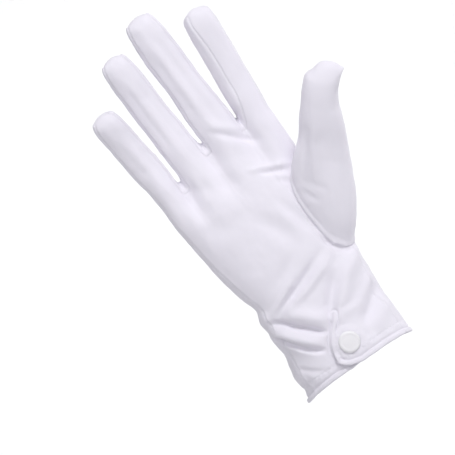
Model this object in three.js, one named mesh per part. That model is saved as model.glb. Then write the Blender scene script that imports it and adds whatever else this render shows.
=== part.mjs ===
import * as THREE from 'three';

// White cloth dress glove for the right hand, in the form that a hand gives it.
// Millimetres. X runs to the thumb side, Y to the back of the hand, Z from cuff to fingertips.
// The origin is the centre of the cuff opening.

// Lengths along the hand
const PALM_LENGTH = 161;
const FINGER_LENGTH = 82;
const HEM_HEIGHT = 9;
const VENT_HEIGHT = 37;
const THUMB_HOLE_FOOT = 63;
const THUMB_HOLE_HEIGHT = 58;
const KNUCKLE_START = 112;
const CROTCH_DROP = 7;
const HEM_LIFT = 5.7;

// Breadths and depths
const CUFF_WIDTH = 73;
const CUFF_DEPTH = 50;
const WRIST_WIDTH = 71.5;
const WRIST_DEPTH = 39;
const PALM_BREADTH = 85.6;
const PALM_DEPTH = 34;
const FINGER_WIDTH = 23;
const FINGER_DEPTH = 20;
const WEB_WIDTH = 1.7;
const FINGER_CURL = 14;

// Thumb
const THUMB_LENGTH = 88.5;
const THUMB_WIDTH = 21.5;
const THUMB_DEPTH = 21;
const THUMB_LEAN = 33.5;
const THUMB_FORWARD = 24;

// Cloth
const WALL = 1;
const HEM_WALL = 1.9;
const SEAM_GAP = 0.32;
const LAYER_GAP = 0.4;
const FLAP_CORNER = 3.2;
const FLAP_CORNER_FADE = 17.5;
// The flap's lower edge climbs toward its corner, over a width and by a share of it
const FLAP_CLIMB_WIDTH = 11;
const FLAP_CLIMB = 0.4;
const POINT_HEIGHT = 1.6;
const POINT_WIDTH = 2.8;
const POINT_FOOT = 60;
const POINT_SPACING = 13;
const POINT_START = 8;
const FOLD_HEIGHT = 2;
const FOLD_WIDTH = 4;

// Snap
const SNAP_DIAMETER = 12.7;
const SNAP_HEIGHT = 1.8;
const SNAP_X = 1.5;
const SNAP_Z = 18.9;
const STUD_DIAMETER = 9;
const STUD_HEIGHT = 1.6;
const SNAP_CLEARANCE = 0.3;
const SNAP_SIDES = 32;
// Outlines of the two halves, as shares of their radius and height
const CAP_OUTLINE = [
  { radius: 0.00, height: 0.00 },
  { radius: 0.94, height: 0.00 },
  { radius: 1.00, height: 0.25 },
  { radius: 0.97, height: 0.60 },
  { radius: 0.86, height: 0.88 },
  { radius: 0.74, height: 0.80 },
  { radius: 0.62, height: 0.90 },
  { radius: 0.30, height: 1.00 },
  { radius: 0.00, height: 1.00 },
];
const STUD_OUTLINE = [
  { radius: 0.00, height: 0.00 },
  { radius: 0.85, height: 0.00 },
  { radius: 1.00, height: 0.40 },
  { radius: 1.00, height: 1.00 },
  { radius: 0.00, height: 1.00 },
];

// Roundness of a cross-section: 2 is an ellipse, more is squarer
const ROUNDNESS = 2.4;
// Share of a face's half width at which its side seams run
const SEAM_SHARE = 0.88;
const CUFF_SEAM_SHARE = 0.89;
// Furthest share across the hand at which a finger's root seam may lie
const ROOT_SHARE_LIMIT = 0.97;
// Shares of PALM_LENGTH at which the palm's and the back's columns point straight up the fingers
const PALM_COLUMNS_END = 0.92;
const BACK_COLUMNS_END = 0.95;

// Cross-sections of the hand: at is a share of PALM_LENGTH, centre a share of the width
const SECTIONS = [
  { at: 0.00, width: CUFF_WIDTH, centre: -0.008, palm: CUFF_DEPTH * 0.50, back: CUFF_DEPTH * 0.50 },
  { at: 0.12, width: CUFF_WIDTH * 0.98, centre: 0.000, palm: CUFF_DEPTH * 0.47, back: CUFF_DEPTH * 0.46 },
  { at: 0.25, width: CUFF_WIDTH * 0.975, centre: 0.016, palm: CUFF_DEPTH * 0.42, back: CUFF_DEPTH * 0.41 },
  { at: 0.38, width: WRIST_WIDTH, centre: 0.040, palm: WRIST_DEPTH * 0.50, back: WRIST_DEPTH * 0.48 },
  { at: 0.50, width: PALM_BREADTH * 0.91, centre: 0.018, palm: PALM_DEPTH * 0.56, back: PALM_DEPTH * 0.51 },
  { at: 0.64, width: PALM_BREADTH * 0.96, centre: 0.001, palm: PALM_DEPTH * 0.53, back: PALM_DEPTH * 0.49 },
  { at: 0.82, width: PALM_BREADTH * 0.99, centre: -0.006, palm: PALM_DEPTH * 0.49, back: PALM_DEPTH * 0.47 },
  { at: 1.00, width: PALM_BREADTH, centre: -0.008, palm: PALM_DEPTH * 0.38, back: PALM_DEPTH * 0.38 },
];

// Line of the vent: at is a share of VENT_HEIGHT, across a share of the cuff's half width
const VENT_LINE = [
  { at: 0.00, across: -0.250 },
  { at: 0.35, across: -0.250 },
  { at: 0.50, across: -0.235 },
  { at: 0.66, across: -0.160 },
  { at: 0.83, across: -0.035 },
  { at: 1.00, across: 0.075 },
  { at: 1.25, across: 0.130 },
  { at: 1.70, across: 0.080 },
];

// Fingers from the little finger to the index finger. The left and right edges at the root are
// shares of half the breadth, heights are shares of PALM_LENGTH, and tip sizes are shares of
// half the breadth and of FINGER_LENGTH. Curl is a share of FINGER_CURL.
const FINGERS = [
  {
    name: 'little', left: -1.015, right: -0.625, leftUp: 0.915, rightUp: 0.932,
    tipAcross: -0.980, tipUp: 0.561, width: 0.83, curl: 1.3, twist: 0,
  },
  {
    name: 'ring', left: -0.590, right: -0.075, leftUp: 0.932, rightUp: 1.000,
    tipAcross: -0.420, tipUp: 0.860, width: 0.90, curl: 1.0, twist: 0,
  },
  {
    name: 'middle', left: -0.040, right: 0.515, leftUp: 1.000, rightUp: 0.998,
    tipAcross: 0.180, tipUp: 1.000, width: 0.985, curl: 0.8, twist: 0,
  },
  {
    name: 'index', left: 0.555, right: 1.000, leftUp: 0.998, rightUp: 0.965,
    tipAcross: 0.887, tipUp: 0.812, width: 0.90, curl: 0.9, twist: 42,
  },
];

// Rings of a finger: at is a share of its length, width and depth are shares of its own,
// and turn is how much of the finger's twist it has
const FINGER_RINGS = [
  { at: 0.10, width: 1.030, depth: 1.00, turn: 0.80 },
  { at: 0.24, width: 1.015, depth: 0.99, turn: 1.00 },
  { at: 0.38, width: 0.990, depth: 0.97, turn: 1.00 },
  { at: 0.52, width: 0.975, depth: 0.95, turn: 1.00 },
  { at: 0.66, width: 0.965, depth: 0.93, turn: 0.95 },
  { at: 0.79, width: 0.950, depth: 0.90, turn: 0.80 },
  { at: 0.89, width: 0.900, depth: 0.82, turn: 0.60 },
  { at: 0.96, width: 0.760, depth: 0.58, turn: 0.50 },
];
const TIP_SEAM_SHARE = 0.54;
const TIP_SEAM_DROOP = 1.5;
const TIP_TURN = 0.5;
// Shares of a finger's length at which its rings are square to it and have its own width
const RING_SQUARE = 0.45;
const RING_FULL = 0.4;
// Depth of the seams at a crotch, as a share of that of a finger's seams, and how much of
// CROTCH_DROP the middle of a finger's root is spared
const CROTCH_SEAM_DEPTH = 0.94;
const ROOT_ARCH = 0.4;

// Rings of the thumb past its root: at is a share of THUMB_LENGTH, width, depth and shift to the
// outer edge are shares of its own sizes
const THUMB_ROOT_RINGS = 6;
const THUMB_ROOT_TOP = { at: 0.62, width: 1.16, depth: 1.05, shift: 0.00 };
// Curve of the thumb's root: reach is a share of its length. Flare, and the bulges of its lower
// side near its start and its end, are shares of the reach of its start.
const THUMB_ROOT_CURVE = { reach: 0.36, flare: 0.12, startBulge: 0.08, endBulge: 0.30 };
const THUMB_RINGS = [
  { at: 0.70, width: 1.03, depth: 1.00, shift: -0.03 },
  { at: 0.78, width: 0.98, depth: 0.96, shift: -0.03 },
  { at: 0.85, width: 0.98, depth: 0.86, shift: 0.00 },
  { at: 0.91, width: 0.97, depth: 0.66, shift: 0.06 },
];
// Seam across the thumb's tip: upper and lower are its reaches, as shares of half the width
const THUMB_TIP = { upper: 0.60, lower: 1.02, shift: 0.10, droop: 0.20 };

// Folds on the palm side: across is a share of the half width, up a share of PALM_LENGTH,
// height a share of FOLD_HEIGHT and width a share of FOLD_WIDTH
const FOLDS = [
  { across: [-0.88, -0.50], up: [0.332, 0.262], height: -1.10, width: 1.05 },
  { across: [-0.50, -0.12], up: [0.262, 0.185], height: -0.80, width: 1.05 },
  { across: [-0.98, -0.62], up: [0.290, 0.200], height: -1.15, width: 1.05 },
  { across: [-0.62, -0.34], up: [0.200, 0.145], height: -0.70, width: 1.05 },
  { across: [-0.60, 0.10], up: [0.365, 0.385], height: -0.55, width: 1.10 },
  { across: [0.86, 0.16], up: [0.375, 0.215], height: 0.70, width: 1.50 },
  { across: [0.44, 0.10], up: [0.352, 0.245], height: -0.60, width: 1.20 },
  { across: [0.88, 0.36], up: [0.205, 0.135], height: -0.50, width: 1.30 },
  { across: [0.22, 0.58], up: [0.985, 0.888], height: -0.70, width: 1.20 },
  { across: [0.40, 0.80], up: [0.805, 0.760], height: -1.30, width: 1.60 },
  { across: [0.34, 0.80], up: [0.860, 0.815], height: 0.50, width: 1.40 },
];

// Lattice of the hand
const FACE_STEPS = 4;
const SIDE_STEPS = 3;
const GAP_STEPS = 2;
const PITCH = FACE_STEPS + GAP_STEPS;
const PALM_LAST = FINGERS.length * PITCH - GAP_STEPS;
const BACK_FIRST = PALM_LAST + SIDE_STEPS;
const BACK_LAST = BACK_FIRST + PALM_LAST;
const COLUMNS = BACK_LAST + SIDE_STEPS;
const VENT_COLUMN = PITCH * 2 - 1;
const UNDERLAP_COLUMNS = 5;
const FLAP_EASE_COLUMNS = 3;
const HEM_ROWS = 2;
const VENT_ROWS = 7;
const WRIST_ROWS = 6;
const HOLE_ROWS = 5;
const KNUCKLE_ROWS = 4;
const VENT_ROW = HEM_ROWS + VENT_ROWS;
const HOLE_ROW = VENT_ROW + WRIST_ROWS;
const HOLE_ROW_END = HOLE_ROW + HOLE_ROWS;
const TOP_ROW = HOLE_ROW_END + KNUCKLE_ROWS;
const HOLE_COLUMN = PALM_LAST - SIDE_STEPS;
const HOLE_COLUMN_END = PALM_LAST + SIDE_STEPS;
// Thumb opening: its roundness, how far it stretches into the palm, and how far the lattice
// round it is eased, as shares of its half size
const HOLE_ROUNDNESS = 2.4;
const HOLE_PALM_STRETCH = 0.42;
const HOLE_EASE = 0.9;

const { clamp, degToRad, lerp, smoothstep } = THREE.MathUtils;
const at = (x, y, z) => new THREE.Vector3(x, y, z);

// Smooth value of one column of a table, by Hermite interpolation over its at column
function tableValue(table, key, place) {
  const last = table.length - 1;
  const clamped = clamp(place, table[0].at, table[last].at);
  let i = 0;
  while (i < last - 1 && clamped > table[i + 1].at) i += 1;
  const slope = (k) => {
    const a = table[Math.max(k - 1, 0)];
    const b = table[Math.min(k + 1, last)];
    return (b[key] - a[key]) / (b.at - a.at);
  };
  const span = table[i + 1].at - table[i].at;
  const t = (clamped - table[i].at) / span;
  const start = table[i][key] * (1 + 2 * t) * (1 - t) ** 2 + slope(i) * span * t * (1 - t) ** 2;
  const end = table[i + 1][key] * t * t * (3 - 2 * t) + slope(i + 1) * span * t * t * (t - 1);
  return start + end;
}

// Point of a superellipse with half sizes of 1 at an angle
function roundPoint(angle) {
  const power = 2 / ROUNDNESS;
  const x = Math.sign(Math.cos(angle)) * Math.abs(Math.cos(angle)) ** power;
  const y = Math.sign(Math.sin(angle)) * Math.abs(Math.sin(angle)) ** power;
  return [x, y];
}

// Size of the superellipse that a point lies on
function roundSize(x, y, power) {
  return (Math.abs(x) ** power + Math.abs(y) ** power) ** (1 / power);
}

// Angle on the palm half of a superellipse, from -PI to 0, at a share across it
function palmAngle(share) {
  const bounded = clamp(share, -1, 1);
  return -Math.acos(Math.sign(bounded) * Math.abs(bounded) ** (ROUNDNESS / 2));
}

// Root and tip of a finger in millimetres
function fingerRoot(finger) {
  const half = PALM_BREADTH / 2;
  const left = finger.left * half;
  const right = finger.right * half;
  const leftRoot = at(left, 0, finger.leftUp * PALM_LENGTH);
  const rightRoot = at(right, 0, finger.rightUp * PALM_LENGTH);
  const centre = leftRoot.clone().add(rightRoot).multiplyScalar(0.5);
  const tip = at(
    finger.tipAcross * half,
    -finger.curl * FINGER_CURL,
    PALM_LENGTH + finger.tipUp * FINGER_LENGTH,
  );
  return { left: leftRoot, right: rightRoot, centre, tip, halfWidth: (right - left) / 2 };
}

// Shares across a finger's palm face, from seam to seam
const fingerShare = (step) => SEAM_SHARE * (2 * step / FACE_STEPS - 1);

// Which finger and which step of it a palm or back column belongs to
function columnPlace(column) {
  const palm = column <= PALM_LAST ? column : BACK_LAST - column;
  return { finger: Math.floor(palm / PITCH), step: palm % PITCH };
}

// Place across the hand where a column meets the finger roots, and its height there
function rootPoint(column) {
  const face = column <= PALM_LAST ? -1 : 1;
  const { finger, step } = columnPlace(column);
  const root = fingerRoot(FINGERS[finger]);
  const depth = FINGER_DEPTH / 2;
  if (step > FACE_STEPS) {
    const next = fingerRoot(FINGERS[finger + 1]);
    const [, seamY] = roundPoint(palmAngle(SEAM_SHARE));
    const x = (root.right.x + next.left.x) / 2;
    return at(x, face * -seamY * depth * CROTCH_SEAM_DEPTH, root.right.z - CROTCH_DROP);
  }
  const share = fingerShare(step);
  const [x, y] = roundPoint(palmAngle(share));
  const side = (share + 1) / 2;
  const drop = CROTCH_DROP * (1 - ROOT_ARCH * (1 - Math.abs(share)));
  const z = lerp(root.left.z, root.right.z, side) - drop;
  return at(root.centre.x + x * root.halfWidth, face * -y * depth, z);
}

// Root point of a column on the outer side of the little or the index finger
function outerRootPoint(column) {
  const radial = column < BACK_FIRST;
  const from = radial ? rootPoint(PALM_LAST) : rootPoint(BACK_LAST);
  const root = fingerRoot(radial ? FINGERS[FINGERS.length - 1] : FINGERS[0]);
  const step = radial ? column - PALM_LAST : column - BACK_LAST;
  const seam = palmAngle(radial ? SEAM_SHARE : -SEAM_SHARE);
  const angle = radial
    ? lerp(seam, -seam, step / SIDE_STEPS)
    : lerp(-seam, seam + 2 * Math.PI, step / SIDE_STEPS);
  const [x, y] = roundPoint(angle);
  return at(root.centre.x + x * root.halfWidth, y * FINGER_DEPTH / 2, from.z);
}

function wholeColumnRoot(column) {
  const wrapped = (column + COLUMNS) % COLUMNS;
  const outer = (wrapped > PALM_LAST && wrapped < BACK_FIRST) || wrapped > BACK_LAST;
  return outer ? outerRootPoint(wrapped) : rootPoint(wrapped);
}

// Root point of any place between two whole columns
function columnRoot(column) {
  const low = Math.floor(column);
  return wholeColumnRoot(low).lerp(wholeColumnRoot(low + 1), column - low);
}

// Share across the hand of a palm column at a height
function palmShare(column, z) {
  const half = tableValue(SECTIONS, 'width', z / PALM_LENGTH) / 2;
  const vent = tableValue(VENT_LINE, 'across', z / VENT_HEIGHT);
  const cuff = column < VENT_COLUMN
    ? lerp(-CUFF_SEAM_SHARE, vent, column / VENT_COLUMN)
    : lerp(vent, CUFF_SEAM_SHARE, (column - VENT_COLUMN) / (PALM_LAST - VENT_COLUMN));
  const root = columnRoot(column).x / half;
  const climb = smoothstep(z, VENT_HEIGHT, PALM_COLUMNS_END * PALM_LENGTH);
  return lerp(cuff, clamp(root, -ROOT_SHARE_LIMIT, ROOT_SHARE_LIMIT), climb);
}

// Share across the hand of a back column at a height, given as its mirror palm column
function backShare(mirror, z) {
  const half = tableValue(SECTIONS, 'width', z / PALM_LENGTH) / 2;
  const root = columnRoot(BACK_LAST - mirror).x / half;
  const knots = [{ at: 0, share: -CUFF_SEAM_SHARE }];
  for (let gap = 0; gap < FINGERS.length - 1; gap += 1) {
    const middle = (gap - 1) * POINT_SPACING;
    for (const step of [-1, 0, 1]) {
      knots.push({
        at: gap * PITCH + FACE_STEPS + 1 + step,
        share: (middle + step * POINT_WIDTH / 2) / half,
      });
    }
  }
  knots.push({ at: PALM_LAST, share: CUFF_SEAM_SHARE });
  let i = 0;
  while (i < knots.length - 2 && mirror > knots[i + 1].at) i += 1;
  const t = (mirror - knots[i].at) / (knots[i + 1].at - knots[i].at);
  const cuff = lerp(knots[i].share, knots[i + 1].share, t);
  const span = BACK_COLUMNS_END * PALM_LENGTH - POINT_FOOT;
  const climb = clamp((z - POINT_FOOT) / span, 0, 1);
  return lerp(cuff, clamp(root, -ROOT_SHARE_LIMIT, ROOT_SHARE_LIMIT), climb);
}

// Angle round the hand's section of a column at a height
function columnAngle(column, z) {
  if (column <= PALM_LAST) return palmAngle(palmShare(column, z));
  if (column < BACK_FIRST) {
    const t = (column - PALM_LAST) / SIDE_STEPS;
    return lerp(columnAngle(PALM_LAST, z), columnAngle(BACK_FIRST, z), t);
  }
  if (column <= BACK_LAST) return -palmAngle(backShare(BACK_LAST - column, z));
  const t = (column - BACK_LAST) / SIDE_STEPS;
  return lerp(columnAngle(BACK_LAST, z), columnAngle(0, z) + 2 * Math.PI, t);
}

// Height of the folds at a place on the palm side
function foldHeight(share, z) {
  const half = PALM_BREADTH / 2;
  let height = 0;
  for (const fold of FOLDS) {
    const ax = fold.across[0] * half;
    const az = fold.up[0] * PALM_LENGTH;
    const bx = fold.across[1] * half - ax;
    const bz = fold.up[1] * PALM_LENGTH - az;
    const px = share * half - ax;
    const pz = z - az;
    const along = clamp((px * bx + pz * bz) / (bx * bx + bz * bz), 0, 1);
    const away = Math.hypot(px - along * bx, pz - along * bz) / (fold.width * FOLD_WIDTH);
    height += fold.height * FOLD_HEIGHT * Math.exp(-away * away);
  }
  return height;
}

// Point of the hand's outer surface, raised by a layer of cloth where one lies over another
function handPoint(column, z, raise = 0) {
  const place = z / PALM_LENGTH;
  const half = tableValue(SECTIONS, 'width', place) / 2;
  const centre = tableValue(SECTIONS, 'centre', place) * 2 * half;
  const angle = columnAngle(column, z);
  const [x, y] = roundPoint(angle);
  const depth = tableValue(SECTIONS, y < 0 ? 'palm' : 'back', place);
  const top = columnRoot(column);
  const blend = smoothstep(z, KNUCKLE_START, top.z);
  const point = at(centre + x * half, y * depth, z);
  const outX = Math.sign(x) * Math.abs(x) ** (ROUNDNESS - 1) / half;
  const outY = Math.sign(y) * Math.abs(y) ** (ROUNDNESS - 1) / depth;
  const out = at(outX, outY, 0).normalize();
  const fold = y < 0 ? foldHeight(x, z) * Math.abs(y) ** 2 : 0;
  point.addScaledVector(out, fold + raise);
  const lift = HEM_LIFT * Math.max(0, -y) * clamp(1 - z / VENT_HEIGHT, 0, 1);
  point.x = lerp(point.x, top.x, blend);
  point.y = lerp(point.y, top.y, blend);
  point.z += lift;
  return point;
}

// Cloth lattice: points, their wall and the lift of their outer face, and tagged faces
const points = [];
const faces = [];

function addPoint(position, wall = WALL, lift = 0) {
  points.push({ position, wall, lift, normal: at(0, 0, 0) });
  return points.length - 1;
}

function addFace(piece, ...corners) {
  faces.push({ piece, corners });
}

const wallAt = (z) => (z <= HEM_HEIGHT + 0.01 ? HEM_WALL : WALL);

// Height of a row at a column, before the thumb opening bends it
function rowHeight(row, column) {
  if (row <= HEM_ROWS) return HEM_HEIGHT * row / HEM_ROWS;
  if (row <= VENT_ROW) return lerp(HEM_HEIGHT, VENT_HEIGHT, (row - HEM_ROWS) / VENT_ROWS);
  if (row <= HOLE_ROW) return lerp(VENT_HEIGHT, THUMB_HOLE_FOOT, (row - VENT_ROW) / WRIST_ROWS);
  const holeTop = THUMB_HOLE_FOOT + THUMB_HOLE_HEIGHT;
  if (row <= HOLE_ROW_END) return lerp(THUMB_HOLE_FOOT, holeTop, (row - HOLE_ROW) / HOLE_ROWS);
  return lerp(holeTop, columnRoot(column).z, (row - HOLE_ROW_END) / KNUCKLE_ROWS);
}

// Place of a lattice point relative to the thumb opening: -1 to 1 across and up inside it
function holePlace(column, row) {
  const middle = (HOLE_ROW + HOLE_ROW_END) / 2;
  return [(column - PALM_LAST) / SIDE_STEPS, (row - middle) / (HOLE_ROWS / 2)];
}

// Rounds the thumb opening and eases the lattice round it
function bendRoundHole(column, row) {
  const [p, q] = holePlace(column, row);
  const ring = Math.max(Math.abs(p), Math.abs(q));
  const plain = [column, rowHeight(row, column)];
  const ease = clamp(1 - (ring - 1) / HOLE_EASE, 0, 1);
  if (ease === 0) return plain;
  const a = p / ring;
  const b = q / ring;
  const size = roundSize(a, b, HOLE_ROUNDNESS);
  const stretch = 1 + HOLE_PALM_STRETCH * Math.max(0, -a);
  const shiftP = (stretch * a / size - a) * ease;
  const shiftQ = (b / size - b) * ease;
  return [plain[0] + shiftP * SIDE_STEPS, plain[1] + shiftQ * THUMB_HOLE_HEIGHT / 2];
}

// Lift of the raised line on the back at a column and row
function pointLift(column, row) {
  const isBack = column >= BACK_FIRST && column <= BACK_LAST;
  if (!isBack || columnPlace(column).step <= FACE_STEPS || row === TOP_ROW) return 0;
  const z = rowHeight(row, column);
  return POINT_HEIGHT * smoothstep(z, POINT_FOOT - POINT_START / 2, POINT_FOOT + POINT_START / 2);
}

const insideHole = (column, row) => {
  const [p, q] = holePlace(column, row);
  return Math.max(Math.abs(p), Math.abs(q)) < 0.999;
};

// Hand lattice, without the inside of the thumb opening
const hand = [];
for (let row = 0; row <= TOP_ROW; row += 1) {
  hand.push([]);
  for (let column = 0; column < COLUMNS; column += 1) {
    if (insideHole(column, row)) {
      hand[row].push(-1);
    } else {
      const [bentColumn, z] = bendRoundHole(column, row);
      const point = handPoint(bentColumn, z);
      hand[row].push(addPoint(point, wallAt(z), pointLift(column, row)));
    }
  }
}

// Width of one column of the flap
const FLAP_COLUMN = CUFF_WIDTH * (CUFF_SEAM_SHARE - VENT_LINE[0].across) / 2 / (PALM_LAST - VENT_COLUMN);

// Flap of the vent: the palm columns past the vent, raised over the strip below them
const flap = [];
for (let row = 0; row < VENT_ROW; row += 1) {
  flap.push([]);
  for (let column = VENT_COLUMN; column < COLUMNS; column += 1) {
    const past = column - VENT_COLUMN;
    const ease = 1 - smoothstep(past, UNDERLAP_COLUMNS, UNDERLAP_COLUMNS + FLAP_EASE_COLUMNS);
    if (ease === 0) {
      flap[row].push(hand[row][column]);
    } else {
      const plain = rowHeight(row, column);
      const inset = Math.max(0, FLAP_CORNER - past * FLAP_COLUMN);
      const round = FLAP_CORNER - Math.sqrt(FLAP_CORNER ** 2 - inset ** 2);
      const corner = round + FLAP_CLIMB * Math.max(0, FLAP_CLIMB_WIDTH - past * FLAP_COLUMN);
      const fade = clamp(1 - plain / FLAP_CORNER_FADE, 0, 1);
      const z = plain + corner * fade;
      const raise = (wallAt(plain) + LAYER_GAP) * ease;
      flap[row].push(addPoint(handPoint(column, z, raise), wallAt(plain)));
    }
  }
}

function handFace(row, column) {
  const next = (column + 1) % COLUMNS;
  const piece = column < PALM_LAST ? 'palm_panel' : 'back_panel';
  const onFlap = row < VENT_ROW && column >= VENT_COLUMN && column < PALM_LAST;
  const pick = (r, c) => (onFlap && r < VENT_ROW ? flap[r][c - VENT_COLUMN] : hand[r][c]);
  const corners = [pick(row, column), pick(row, next), pick(row + 1, next), pick(row + 1, column)];
  addFace(piece, ...corners);
}

for (let row = 0; row < TOP_ROW; row += 1) {
  for (let column = 0; column < COLUMNS; column += 1) {
    if (!insideHole(column + 0.5, row + 0.5)) handFace(row, column);
  }
}

// Strip of the palm that carries on under the flap
for (let row = 0; row < VENT_ROW - 1; row += 1) {
  for (let past = 0; past < UNDERLAP_COLUMNS; past += 1) {
    const column = VENT_COLUMN + past;
    const lower = [hand[row][column], hand[row][column + 1]];
    const upper = [hand[row + 1][column + 1], hand[row + 1][column]];
    addFace('palm_panel', ...lower, ...upper);
  }
}

// Ring of a finger: palm seam to seam, far side, back, near side
const RING_STEPS = 2 * (FACE_STEPS + SIDE_STEPS);
const RIGHT_SIDE = FACE_STEPS;
const BACK_SIDE = FACE_STEPS + SIDE_STEPS;
const LEFT_SIDE = 2 * FACE_STEPS + SIDE_STEPS;

// Angle of a ring step on a finger's section
function ringAngle(step) {
  const seam = -palmAngle(SEAM_SHARE);
  if (step <= RIGHT_SIDE) return palmAngle(fingerShare(step));
  if (step < BACK_SIDE) return lerp(-seam, seam, (step - RIGHT_SIDE) / SIDE_STEPS);
  if (step <= LEFT_SIDE) return -palmAngle(fingerShare(LEFT_SIDE - step));
  return lerp(Math.PI - seam, Math.PI + seam, (step - LEFT_SIDE) / SIDE_STEPS);
}

// Directions across and through a finger: across turns from the line of its root to square
function fingerFrame(root, share) {
  const along = root.tip.clone().sub(root.centre).normalize();
  const bent = at(along.x, along.y * 2 * share, along.z).normalize();
  const square = at(0, 1, 0).cross(bent).normalize();
  const slope = root.right.clone().sub(root.left).normalize();
  const across = slope.lerp(square, smoothstep(share, 0, RING_SQUARE)).normalize();
  const through = bent.clone().cross(across).normalize();
  return { across, through };
}

function fingerCentre(root, share) {
  const centre = root.centre.clone().lerp(root.tip, share);
  centre.y = root.tip.y * share * share;
  return centre;
}

// Places of a point on the ring at one row of a finger
function fingerPoint(finger, root, ring, step) {
  const { across, through } = fingerFrame(root, ring.at);
  const ease = smoothstep(ring.at, 0, RING_FULL);
  const half = lerp(root.halfWidth, finger.width * FINGER_WIDTH / 2, ease) * ring.width;
  const depth = FINGER_DEPTH / 2 * ring.depth * lerp(1, finger.width, ease);
  const turn = degToRad(finger.twist) * ring.turn;
  const [x, y] = roundPoint(ringAngle(step) + turn);
  const point = fingerCentre(root, ring.at);
  return point.addScaledVector(across, x * half).addScaledVector(through, y * depth);
}

// First ring of a finger: points shared with the hand, and inner side points of its own
function rootRing(index, root) {
  const first = index * PITCH;
  const ring = [];
  for (let step = 0; step < RING_STEPS; step += 1) {
    const outerLeft = index === 0 && step > LEFT_SIDE;
    const outerRight = index === FINGERS.length - 1 && step > RIGHT_SIDE && step < BACK_SIDE;
    if (step <= RIGHT_SIDE) {
      ring.push(hand[TOP_ROW][first + step]);
    } else if (outerRight) {
      ring.push(hand[TOP_ROW][PALM_LAST + step - RIGHT_SIDE]);
    } else if (outerLeft) {
      ring.push(hand[TOP_ROW][BACK_LAST + step - LEFT_SIDE]);
    } else if (step >= BACK_SIDE && step <= LEFT_SIDE) {
      ring.push(hand[TOP_ROW][BACK_LAST - first - FACE_STEPS + step - BACK_SIDE]);
    } else {
      const [x, y] = roundPoint(ringAngle(step));
      const crotch = step < BACK_SIDE ? root.right : root.left;
      const z = crotch.z + WEB_WIDTH / 2;
      ring.push(addPoint(at(root.centre.x + x * root.halfWidth, y * FINGER_DEPTH / 2, z)));
    }
  }
  return ring;
}

function sidePiece(index, right) {
  const names = FINGERS.map((finger) => finger.name);
  if (right && index < FINGERS.length - 1) return `fourchette_${names[index + 1]}_${names[index]}`;
  if (!right && index > 0) return `fourchette_${names[index]}_${names[index - 1]}`;
  return 'back_panel';
}

function ringPiece(index, step) {
  if (step < RIGHT_SIDE) return 'palm_panel';
  if (step < BACK_SIDE) return sidePiece(index, true);
  if (step < LEFT_SIDE) return 'back_panel';
  return sidePiece(index, false);
}

// Seam across a fingertip, from its left to its right end
function tipSeam(finger, root) {
  const { across, through } = fingerFrame(root, 1);
  const turn = degToRad(finger.twist) * TIP_TURN;
  const half = finger.width * FINGER_WIDTH / 2;
  const seam = [];
  for (let step = 0; step <= FACE_STEPS; step += 1) {
    const share = 2 * step / FACE_STEPS - 1;
    const point = root.tip.clone();
    point.addScaledVector(across, share * TIP_SEAM_SHARE * half * Math.cos(turn));
    point.addScaledVector(through, share * TIP_SEAM_SHARE * half * Math.sin(turn));
    point.z -= TIP_SEAM_DROOP * share * share;
    seam.push(addPoint(point));
  }
  return seam;
}

const rootRings = FINGERS.map((finger, index) => rootRing(index, fingerRoot(finger)));

FINGERS.forEach((finger, index) => {
  const root = fingerRoot(finger);
  let below = rootRings[index];
  for (const ring of FINGER_RINGS) {
    const above = [];
    for (let step = 0; step < RING_STEPS; step += 1) {
      above.push(addPoint(fingerPoint(finger, root, ring, step)));
    }
    for (let step = 0; step < RING_STEPS; step += 1) {
      const next = (step + 1) % RING_STEPS;
      addFace(ringPiece(index, step), below[step], below[next], above[next], above[step]);
    }
    below = above;
  }
  const seam = tipSeam(finger, root);
  for (let step = 0; step < RING_STEPS; step += 1) {
    const next = (step + 1) % RING_STEPS;
    const piece = ringPiece(index, step);
    if (step < RIGHT_SIDE) {
      addFace(piece, below[step], below[next], seam[step + 1], seam[step]);
    } else if (step < BACK_SIDE) {
      addFace(piece, below[step], below[next], seam[FACE_STEPS]);
    } else if (step < LEFT_SIDE) {
      const place = FACE_STEPS - (step - BACK_SIDE);
      addFace(piece, below[step], below[next], seam[place - 1], seam[place]);
    } else {
      addFace(piece, below[step], below[next], seam[0]);
    }
  }
});

// Webs at the crotches, each the bottom of a strip between two fingers
for (let gap = 0; gap < FINGERS.length - 1; gap += 1) {
  const piece = sidePiece(gap, true);
  const palmColumn = gap * PITCH + FACE_STEPS + 1;
  const palmMiddle = hand[TOP_ROW][palmColumn];
  const backMiddle = hand[TOP_ROW][BACK_LAST - palmColumn];
  const root = fingerRoot(FINGERS[gap]);
  const middle = [palmMiddle];
  for (let step = 1; step < SIDE_STEPS; step += 1) {
    const [, y] = roundPoint(ringAngle(RIGHT_SIDE + step));
    const x = points[palmMiddle].position.x;
    middle.push(addPoint(at(x, y * FINGER_DEPTH / 2, root.right.z)));
  }
  middle.push(backMiddle);
  for (let step = 0; step < SIDE_STEPS; step += 1) {
    const left = rootRings[gap];
    const right = rootRings[gap + 1];
    const rightAt = (k) => right[(RING_STEPS - k) % RING_STEPS];
    addFace(piece, left[RIGHT_SIDE + step], middle[step], middle[step + 1], left[RIGHT_SIDE + step + 1]);
    addFace(piece, middle[step], rightAt(step), rightAt(step + 1), middle[step + 1]);
  }
}

// Thumb: its ring starts on the edge of the opening, at the lower palm corner, and runs
// round by the back of the hand
const thumbRoot = [];
for (let c = HOLE_COLUMN; c < HOLE_COLUMN_END; c += 1) thumbRoot.push([c, HOLE_ROW]);
for (let r = HOLE_ROW; r < HOLE_ROW_END; r += 1) thumbRoot.push([HOLE_COLUMN_END, r]);
for (let c = HOLE_COLUMN_END; c > HOLE_COLUMN; c -= 1) thumbRoot.push([c, HOLE_ROW_END]);
for (let r = HOLE_ROW_END; r > HOLE_ROW; r -= 1) thumbRoot.push([HOLE_COLUMN, r]);

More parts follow.
